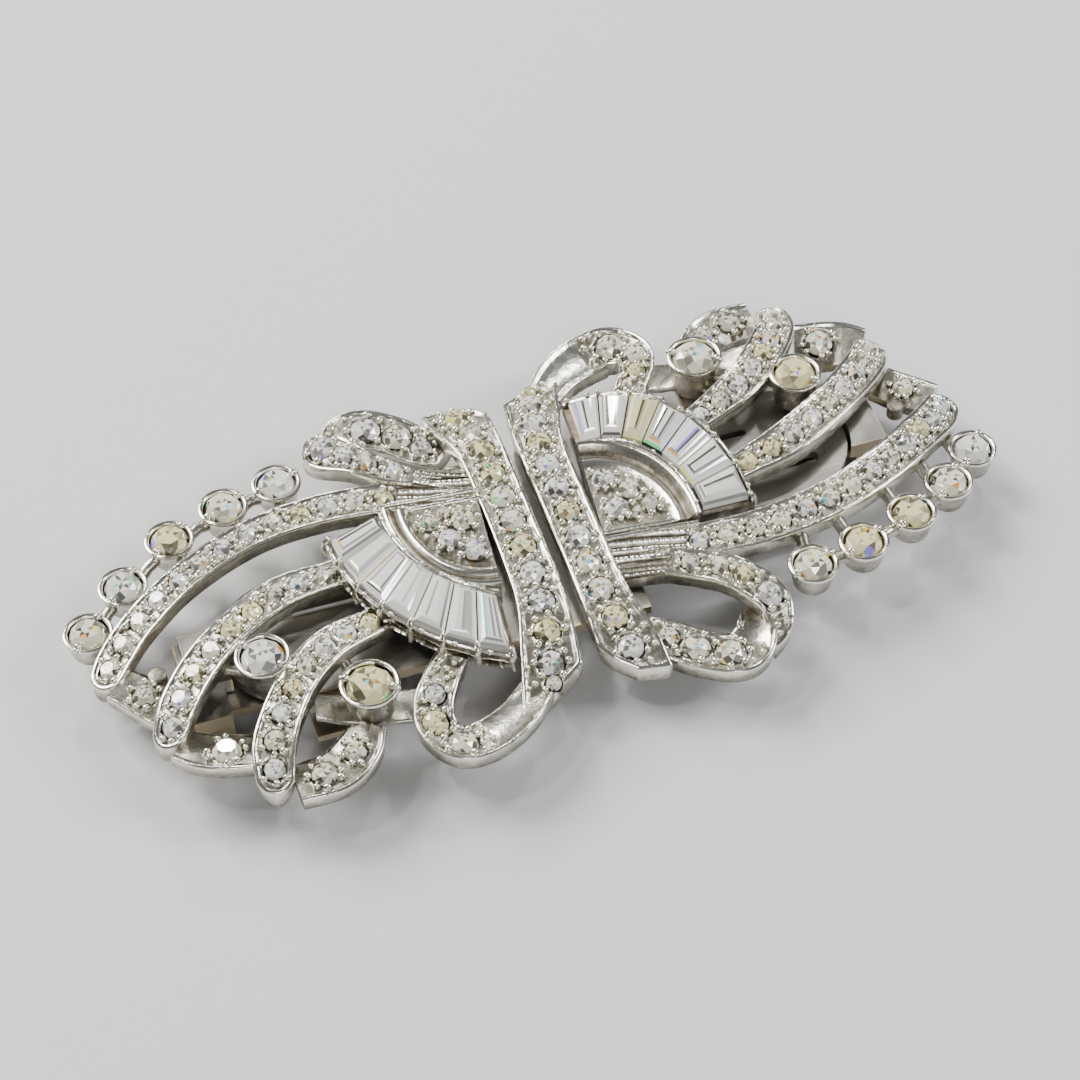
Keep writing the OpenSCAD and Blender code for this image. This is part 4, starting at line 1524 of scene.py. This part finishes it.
@dataclass
class Collets:
    """The chain of collets, the two raised collets, their bars and posts."""

    bead_r: float = 0.34
    side_bead_r: float = 0.27
    stay_r: float = 0.55
    link_r: float = 0.52
    arm_r: float = 0.5

    def cup(self, draft: Draft, at: np.ndarray, d: float, drop: float, grain_turn: float) -> None:
        """Adds one collet with its two opposite grains.

        Args:
            draft: the mesh that takes it.
            at: middle of its rim.
            d: diameter of its stone.
            drop: its height.
            grain_turn: direction of the grains, in degrees.
        """
        inner = d / 2 + S.seat_gap
        outer = inner + S.bezel_t
        foot = outer * S.foot_share
        seat = S.gem_h * S.sunk_share
        # Inside the cup, under its stone, the polish falls to 0: painted shade
        lathe(draft, at - UP * drop, (
            (0.05, 0, 0.3), (foot, 0, 0.3), (outer * (S.foot_share + 0.03), 0.1, 0.35),
            (outer * (S.foot_share + 1) / 2, drop * 0.5, 0.5), (outer * 0.97, drop - 0.4, 0.6),
            (outer, drop - 0.3, 0.7), (outer + 0.02, drop - 0.16, 0.95), (outer - 0.05, drop - 0.03, 1),
            (outer - 0.17, drop + 0.02, 1), (inner + 0.1, drop - 0.02, 1), (inner + 0.02, drop - 0.12, 0.8),
            (inner, drop - 0.3, 0.2), (inner - 0.02, drop - seat, 0), (0.05, drop - seat, 0),
        ), 40)
        for turn in (grain_turn, grain_turn + 180):
            a = math.radians(turn)
            out = np.array([math.cos(a), math.sin(a), 0])
            spot = at + out * (inner - 0.02)
            ball(draft, spot + UP * 0.04, self.bead_r, n=12)
            ball(draft, spot + out * 0.3 - UP * 0.08, self.side_bead_r)

    def build(self, kit: Kit) -> None:
        """Builds the collets with what ties them to the rays.

        Args:
            kit: makes the clip's pieces.
        """
        draft = Draft()
        chain = [S.place(c) for c in CHAIN]
        ray = OUTER_RAY.stations(np.linspace(0, len(OUTER_RAY.rows) - 1, 25))
        side = ray[0] - ray[1] * ray[2][:, None] * 0.85
        reach = S.chain_d / 2 + S.seat_gap + S.bezel_t * 0.6
        low = UP * 1.1
        for i, p in enumerate(chain):
            to = chain[i + 1] if i + 1 < len(chain) else 2 * p - chain[i - 1]
            heading = math.degrees(math.atan2(to[1] - p[1], to[0] - p[0]))
            self.cup(draft, p, S.chain_d, S.chain_drop, heading + 8)
            q = side[np.argmin(np.linalg.norm(side[:, :2] - p[:2], axis=1))]
            start = p + level(q - p) * (reach - 0.3) - low
            # The stays, links and arms under the rays are dull: tarnish and painted shade
            rod(draft, np.array([start, q - UP * (S.cast_t - 0.5)]), self.stay_r, 0.45)
            if i:
                b = chain[i - 1]
                v = level(b - p) * (reach - 0.3)
                path = np.array([p + v - low, (p + b) / 2 - low * 0.7, b - v - low])
                rod(draft, path, self.link_r, 0.5)
        a, b = S.place(INNER_COLLET), S.place(OUTER_COLLET)
        self.cup(draft, a, S.inner_gem_d, S.inner_drop, -50)
        self.cup(draft, b, S.outer_gem_d, S.outer_drop, 150)
        foot = UP * (S.cast_t - 0.4)
        for start, drop, ends in (
            (a, S.inner_drop, (S.place(INNER_RAY.rows[2]), S.place(MIDDLE_RAY.rows[3]))),
            (b, S.outer_drop, (S.place(SCALLOP_3.rows[0]), S.place(INNER_RAY.rows[1]))),
        ):
            for end in ends:
                rod(draft, np.array([start - UP * (drop - 0.6), end - foot]), self.arm_r, 0.45)
        posts = (STUB, S.frame_z, 0.08, 0.3), (RIVET, S.bracket_z + 0.05, 0.23, 1)
        for row, base, dome, polish_and_shade_level in posts:
            at = S.place(row)
            h, r = at[2] - base, S.post_r
            lathe(draft, np.array([at[0], at[1], base]), (
                (0.05, 0, 0.3), (r, 0, 0.3), (r, h * 0.5, 0.3), (r, h, 0.9 * polish_and_shade_level),
                (r * 0.8, h + 0.56 * dome, polish_and_shade_level), (r * 0.45, h + 0.91 * dome, polish_and_shade_level),
                (0.05, h + dome, polish_and_shade_level),
            ), 24)
        kit.piece("collets", draft, Slot.CASTING, "clip_casting")


# The stones


class Flash(Enum):
    """Fire of a facet that catches the light."""

    CYAN = (0.25, 0.75, 0.95)
    ORANGE = (0.95, 0.45, 0.08)
    VIOLET = (0.35, 0.3, 0.9)
    GREEN = (0.2, 0.8, 0.3)
    YELLOW = (0.95, 0.85, 0.2)


class Tone(Enum):
    """Body colour of a stone."""

    CLEAR = (1.0, 0.99, 0.95)
    WARM = (1.0, 0.95, 0.78)
    STRAW = (0.95, 0.87, 0.5)
    SMOKE = (0.78, 0.74, 0.62)


@dataclass
class Palette:
    """Draws the tints of a stone's facets: body colour at painted brightness levels, which stand for
    reflections and sparkle.
    """

    rng: np.random.Generator
    # Shares of facets painted as fire and painted bright
    flash: float = 0.025
    light: float = 0.58
    shares: tuple[float, ...] = (0.36, 0.34, 0.2, 0.1)

    def tone(self) -> Tone:
        """Body colour of the next stone."""
        return list(Tone)[self.rng.choice(len(Tone), p=self.shares)]

    def tint(self, tone: Tone, low: float, high: float) -> Colour:
        """Tint of one facet: its body colour at a painted brightness between two levels, for the light that
        it reflects.

        Args:
            tone: the stone's body colour.
            low: the darkest level.
            high: the brightest one.

        Returns:
            The tint; now and then it is a flash of fire.
        """
        if self.rng.random() < self.flash:
            fire = list(Flash)[self.rng.integers(len(Flash))]
            return tuple(float(c) for c in fire.value)
        share = [0.52 * (1 - self.light), 0.48 * (1 - self.light), self.light]
        dark, light = ((0, 0.1), (0.25, 0.6), (0.85, 1))[self.rng.choice(3, p=share)]
        bright = low + (high - low) * self.rng.uniform(dark, light)
        return tuple(float(bright * c) for c in tone.value)


def brilliant(draft: Draft, seat: Seat, height: float, palette: Palette) -> None:
    """Adds a round stone: girdle, kites, stars, upper girdle facets and a table.

    Args:
        draft: the mesh that takes it.
        seat: where it sits.
        height: from its seat to its table.
        palette: source of its tints.
    """
    d, up, left = seat.diameter, seat.up, unit(seat.left)
    ahead = np.cross(left, up)
    turn = palette.rng.uniform(0, math.pi)
    rings = (
        (16, 0, 0.485, 0.0), (16, 0, 0.5, 0.2), (8, 0.5, 0.43, 0.66),
        (8, 0, 0.315, 1.0), (8, 0.5, 0.15, 1.0),
    )
    points = []
    for n, shift, r, z in rings:
        for i in range(n):
            a = (i + shift) * 2 * math.pi / n + turn
            out = ahead * math.cos(a) + left * math.sin(a)
            points.append(seat.centre + up * z * height + out * r * d)
    points.append(seat.centre + up * height)
    low, girdle, mid, table, star, top = 0, 16, 32, 40, 48, 56
    tone = palette.tone()
    faces: Faces = [tuple(reversed(range(16)))]
    # Facet tints are painted reflections: darkest underneath, then from dark to bright round the crown
    tints_and_reflections = [palette.tint(tone, 0.05, 0.1)]
    for i in range(16):
        j = (i + 1) % 16
        faces.append((low + i, low + j, girdle + j, girdle + i))
        tints_and_reflections.append(palette.tint(tone, 0.1, 0.4))
    for i in range(8):
        j, g = (i + 1) % 8, 2 * i
        before = (i - 1) % 8
        facets = (
            ((girdle + g, girdle + g + 1, mid + i), 0.04, 0.85),
            ((girdle + g + 1, girdle + (g + 2) % 16, mid + i), 0.04, 0.85),
            ((girdle + g, mid + i, table + i, mid + before), 0.06, 1.0),
            ((table + i, mid + i, table + j), 0.2, 1.0),
            ((table + i, table + j, star + i), 0.15, 1.0),
            ((table + i, star + i, star + before), 0.06, 1.0),
            ((star + i, top, star + before), 0.2, 1.0),
        )
        for face, dark, light in facets:
            faces.append(face)
            tints_and_reflections.append(palette.tint(tone, dark, light))
    draft.gem(np.array(points), faces, tints_and_reflections)


@dataclass
class PaveStones:
    """The rows of pave stones."""

    band: SeamBand
    rays: Rays
    scrolls: Scrolls

    def build(self, kit: Kit) -> None:
        """Builds each row as one piece.

        Args:
            kit: makes the clip's pieces.
        """
        outer, middle, inner = (ribbon.seats(*margins) for ribbon, *margins in self.rays.rows)
        fields = {
            "seam_band_stones": self.band.seats(),
            "half_dome_stones": HalfDome.seats(),
            "outer_ray_stones": outer,
            "middle_ray_stones": middle,
            "inner_ray_stones": inner,
            "scallop_stones": [s for form, gems in self.scrolls.scallops for s in form.gem_seats(gems)],
            "fold_stones": FOLD.gem_seats(FOLD_GEMS) + TUCK.gem_seats(TUCK_GEMS),
            "loop_stones": LOOP.gem_seats(LOOP_GEMS),
        }
        for i, (node, seats) in enumerate(fields.items()):
            palette = Palette(np.random.default_rng(kit.side.seed * 100 + i))
            draft = Draft()
            for seat in seats:
                brilliant(draft, seat, S.pave_h, palette)
            kit.piece(f"cut_{node}", draft, Slot.STONES, node)


@dataclass
class ColletStones:
    """The larger stones of the chain and of the raised collets."""

    def build(self, kit: Kit) -> None:
        """Builds the chain's stones as one piece, and each raised stone.

        Args:
            kit: makes the clip's pieces.
        """
        # Larger stones are painted with more bright facets and more fire
        palette = Palette(np.random.default_rng(kit.side.seed * 7), flash=0.05, light=0.74)
        rows = {
            "collet_chain_stones": (CHAIN, S.chain_d),
            "inner_collet_stone": ((INNER_COLLET,), S.inner_gem_d),
            "outer_collet_stone": ((OUTER_COLLET,), S.outer_gem_d),
        }
        for node, (places, d) in rows.items():
            draft = Draft()
            for row in places:
                low = S.place(row) - UP * (S.gem_h * S.sunk_share - S.seat_gap)
                seat = Seat(low, np.array([0.0, 1, 0]), np.array([1.0, 0, 0]), d)
                brilliant(draft, seat, S.gem_h, palette)
            kit.piece(f"cut_{node}", draft, Slot.STONES, node)


@dataclass
class FanStones:
    """The tapered step-cut stones of the fan.

    Rows of the rings: inset as a share of the stone's width, height.
    """

    rings: tuple = ((0, 0.1), (0, 0.6), (0.08, 0.78), (0.15, 0.94), (0.22, 1.06), (0.3, 1.1))
    clear: float = 0.025
    reflection_stripes: int = 4
    slender: float = 2.6
    half_radian: float = 28.6

    def build(self, kit: Kit) -> None:
        """Builds the stones as one piece.

        Args:
            kit: makes the clip's pieces.
        """
        # The baguettes are painted with more bright facets and more fire
        palette = Palette(np.random.default_rng(kit.side.seed * 3), flash=0.05, light=0.7)
        joints = FanGallery.joints()
        step = joints[1] - joints[0]
        draft = Draft()
        for start in joints[:-1]:
            self.stone(draft, start, step, palette)
        kit.piece("cut_fan_baguettes", draft, Slot.STONES, "fan_baguettes")

    def corner(
        self, start: float, step: float, inset: float, lift: float, along: float, across: float
    ) -> np.ndarray:
        """Point of a ring of a stone.

        Args:
            start: angle of the stone's first side, in degrees.
            step: angle from side to side.
            inset: how far the ring lies within the stone, as a share of its width.
            lift: the ring's height.
            along: share from the inner edge to the outer one.
            across: share from the first side to the other.

        Returns:
            The point.
        """
        edge = S.fan_lip + self.clear + inset / self.slender
        s = edge + (1 - 2 * edge) * along
        half = S.baguette_gap / (S.fan_in_y + (S.fan_out_y - S.fan_in_y) * s) * self.half_radian
        t = half + inset * step + (step - 2 * half - 2 * inset * step) * across
        return FanGallery.point(np.array([start + t]), np.array([s]), np.array([lift]))[0]

    def stone(self, draft: Draft, start: float, step: float, palette: Palette) -> None:
        """Adds one stone with its steps, and stripes of painted reflection on its table.

        Args:
            draft: the mesh that takes it.
            start: angle of its first side, in degrees.
            step: angle from side to side.
            palette: source of its tints.
        """
        points, faces, tints_and_reflections = [], [], []
        tone = palette.tone() if palette.rng.random() < 0.3 else Tone.CLEAR
        square = ((0, 0), (1, 0), (1, 1), (0, 1))
        for inset, lift in self.rings:
            points += [self.corner(start, step, inset, lift, *c) for c in square]
        faces.append((3, 2, 1, 0))
        tints_and_reflections.append(palette.tint(tone, 0.05, 0.1))
        for k in range(len(self.rings) - 1):
            for i in range(4):
                a, b = 4 * k + i, 4 * k + (i + 1) % 4
                faces.append((a, b, b + 4, a + 4))
                ends = i % 2 == 0
                # The steps are painted as reflections, and the ends never as dark as the sides
                tints_and_reflections.append(palette.tint(tone, 0.25 if ends else 0.04, 1.0))
        inset, lift = self.rings[-1]
        top = 4 * (len(self.rings) - 1)
        low_row, high_row = [top], [top + 1]
        for k in range(1, self.reflection_stripes):
            for along, row in ((0, low_row), (1, high_row)):
                row.append(len(points))
                points.append(self.corner(start, step, inset, lift, along, k / self.reflection_stripes))
        low_row.append(top + 3)
        high_row.append(top + 2)
        # Each stripe of the table gets its own painted reflection
        for k in range(self.reflection_stripes):
            faces.append((low_row[k], high_row[k], high_row[k + 1], low_row[k + 1]))
            tints_and_reflections.append(palette.tint(tone, 0.06, 1.0))
        self.close_ends(faces, top, low_row, high_row)
        draft.gem(np.array(points), faces, tints_and_reflections)

    def close_ends(self, faces: Faces, top: int, low_row: list[int], high_row: list[int]) -> None:
        """Lets the end facets under the table share the stripes' points.

        Args:
            faces: the stone's faces, changed in place.
            top: first point of its table.
            low_row: points of the table's inner edge.
            high_row: points of its outer edge.
        """
        for n, face in enumerate(faces):
            if len(face) == 4 and top + 3 in face and top in face and top - 4 in face:
                faces[n] = (top - 1, top - 4, *low_row)
            if len(face) == 4 and top + 1 in face and top + 2 in face and top - 3 in face:
                faces[n] = (top - 3, top - 2, *reversed(high_row))


# Fittings and studio


@dataclass
class Fittings:
    """The frame, its pin, and each clip's bracket, hinge, lever and strip, which keep their CAD form."""

    nodes: dict[str, bpy.types.Object]

    def dress(self) -> None:
        """Gives each fitting its satin plate."""
        kinds = {
            "brooch_frame": ("frame_nickel", (0.06, 1.0, 1.0), 0.25),
            "brooch_pin": ("pin_steel", (0.06, 1.0, 1.0), 0.1),
            "hinge_bracket": ("bracket_nickel", (1.0, 0.2, 1.0), 0.2),
            "hinge_pin": ("hinge_steel", (1.0, 0.1, 1.0), 0.1),
            "clip_lever": ("lever_steel", (0.1, 1.0, 1.0), 0.15),
            "guide_strip": ("strip_nickel", (0.2, 1.0, 1.0), 0.25),
        }
        for name, node in self.nodes.items():
            kind = next((k for k in kinds if name.startswith(k)), None)
            if not kind:
                continue
            label, grain, edge = kinds[kind]
            finish = SatinNickel(f"{label}_{name.rsplit('_', 1)[-1]}", grain=grain, edge=edge)
            node.data.materials.clear()
            node.data.materials.append(finish.material(*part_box(name)))
            log.info("%s dressed", name)


@dataclass
class Studio:
    """Floor, lights and the camera at the photograph's angle.

    The aim and the distance are in mm, the angles in degrees.
    """

    focal_px: float = 2697.9
    elevation: float = 49.372
    azimuth: float = -16.031
    roll: float = -1.975
    aim: tuple[float, float] = (-0.168, 2.433)
    distance: float = 217.683
    picture: float = 1080.0
    floor_half: float = 1.6
    floor_z: float = -0.00002
    sky: Colour = (0.62, 0.64, 0.67)
    ambient: float = 0.2

    def build(self) -> None:
        """Makes the stage, the lights and the camera."""
        self.floor()
        self.lights()
        self.camera()

    def floor(self) -> None:
        """Makes the pale floor as one wide sheet."""
        mesh = bpy.data.meshes.new("floor")
        half, z = self.floor_half, self.floor_z
        corners = [(-half, -half, z), (half, -half, z), (half, half, z), (-half, half, z)]
        mesh.from_pydata(corners, [], [(0, 1, 2, 3)])
        mesh.materials.append(PaleFloor().material())
        made = bpy.data.objects.new("floor", mesh)
        bpy.context.scene.collection.objects.link(made)

    def lights(self) -> None:
        """Makes the soft lights and the grey surroundings."""
        world = bpy.data.worlds.new("studio")
        world.use_nodes = True
        background = world.node_tree.nodes["Background"]
        background.inputs["Color"].default_value = (*self.sky, 1)
        background.inputs["Strength"].default_value = self.ambient
        bpy.context.scene.world = world
        lamps = (
            ("window", (-0.35, 0.45, 0.5), 0.4, 9.0, (1.0, 0.985, 0.95)),
            ("side", (0.5, -0.1, 0.35), 0.2, 2.4, (0.97, 0.98, 1.0)),
            ("front", (-0.1, -0.55, 0.45), 0.2, 1.6, (1.0, 1.0, 1.0)),
            ("spark_left", (-0.3, 0.1, 0.62), 0.05, 0.7, (1.0, 0.98, 0.94)),
            ("spark_right", (0.28, 0.3, 0.55), 0.05, 0.7, (0.96, 0.98, 1.0)),
            ("spark_back", (0.05, 0.5, 0.3), 0.05, 0.6, (1.0, 1.0, 1.0)),
        )
        for name, at, size, power, tint in lamps:
            data = bpy.data.lights.new(name, "AREA")
            data.size, data.energy, data.color = size, power, tint
            made = bpy.data.objects.new(name, data)
            made.location = at
            made.rotation_euler = (-Vector(at)).to_track_quat("-Z", "Y").to_euler()
            bpy.context.scene.collection.objects.link(made)

    def camera(self) -> None:
        """Places the camera as the photograph's was solved."""
        el, az, roll = (math.radians(v) for v in (self.elevation, self.azimuth, self.roll))
        z = Vector((math.sin(az) * math.cos(el), -math.cos(az) * math.cos(el), math.sin(el)))
        x = Vector(UP).cross(z).normalized()
        y = z.cross(x)
        x, y = x * math.cos(roll) + y * math.sin(roll), y * math.cos(roll) - x * math.sin(roll)
        data = bpy.data.cameras.new("camera")
        data.sensor_width = 36.0
        data.lens = self.focal_px / self.picture * data.sensor_width
        data.clip_start, data.clip_end = 0.01, 10
        made = bpy.data.objects.new("camera", data)
        place = (z * self.distance + x * self.aim[0] + y * self.aim[1]) * MM
        made.matrix_world = Matrix.Translation(place) @ Matrix((x, y, z)).transposed().to_4x4()
        bpy.context.scene.collection.objects.link(made)
        bpy.context.scene.camera = made


def main() -> None:
    """Builds the pieces in order round the frame."""
    logging.basicConfig(level=logging.INFO, format="%(message)s")
    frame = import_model()
    finishes = Finishes(CastWhiteMetal().material(), PasteGlass().material())
    band, rays, scrolls = SeamBand(), Rays(), Scrolls()
    for side in Side:
        kit = Kit(side, finishes)
        for part in (band, rays, scrolls, HalfDome(), FanGallery(), Collets()):
            part.build(kit)
        PaveStones(band, rays, scrolls).build(kit)
        FanStones().build(kit)
        ColletStones().build(kit)
    Fittings(frame["nodes"]).dress()
    Studio().build()


if __name__ == "__main__":
    main()
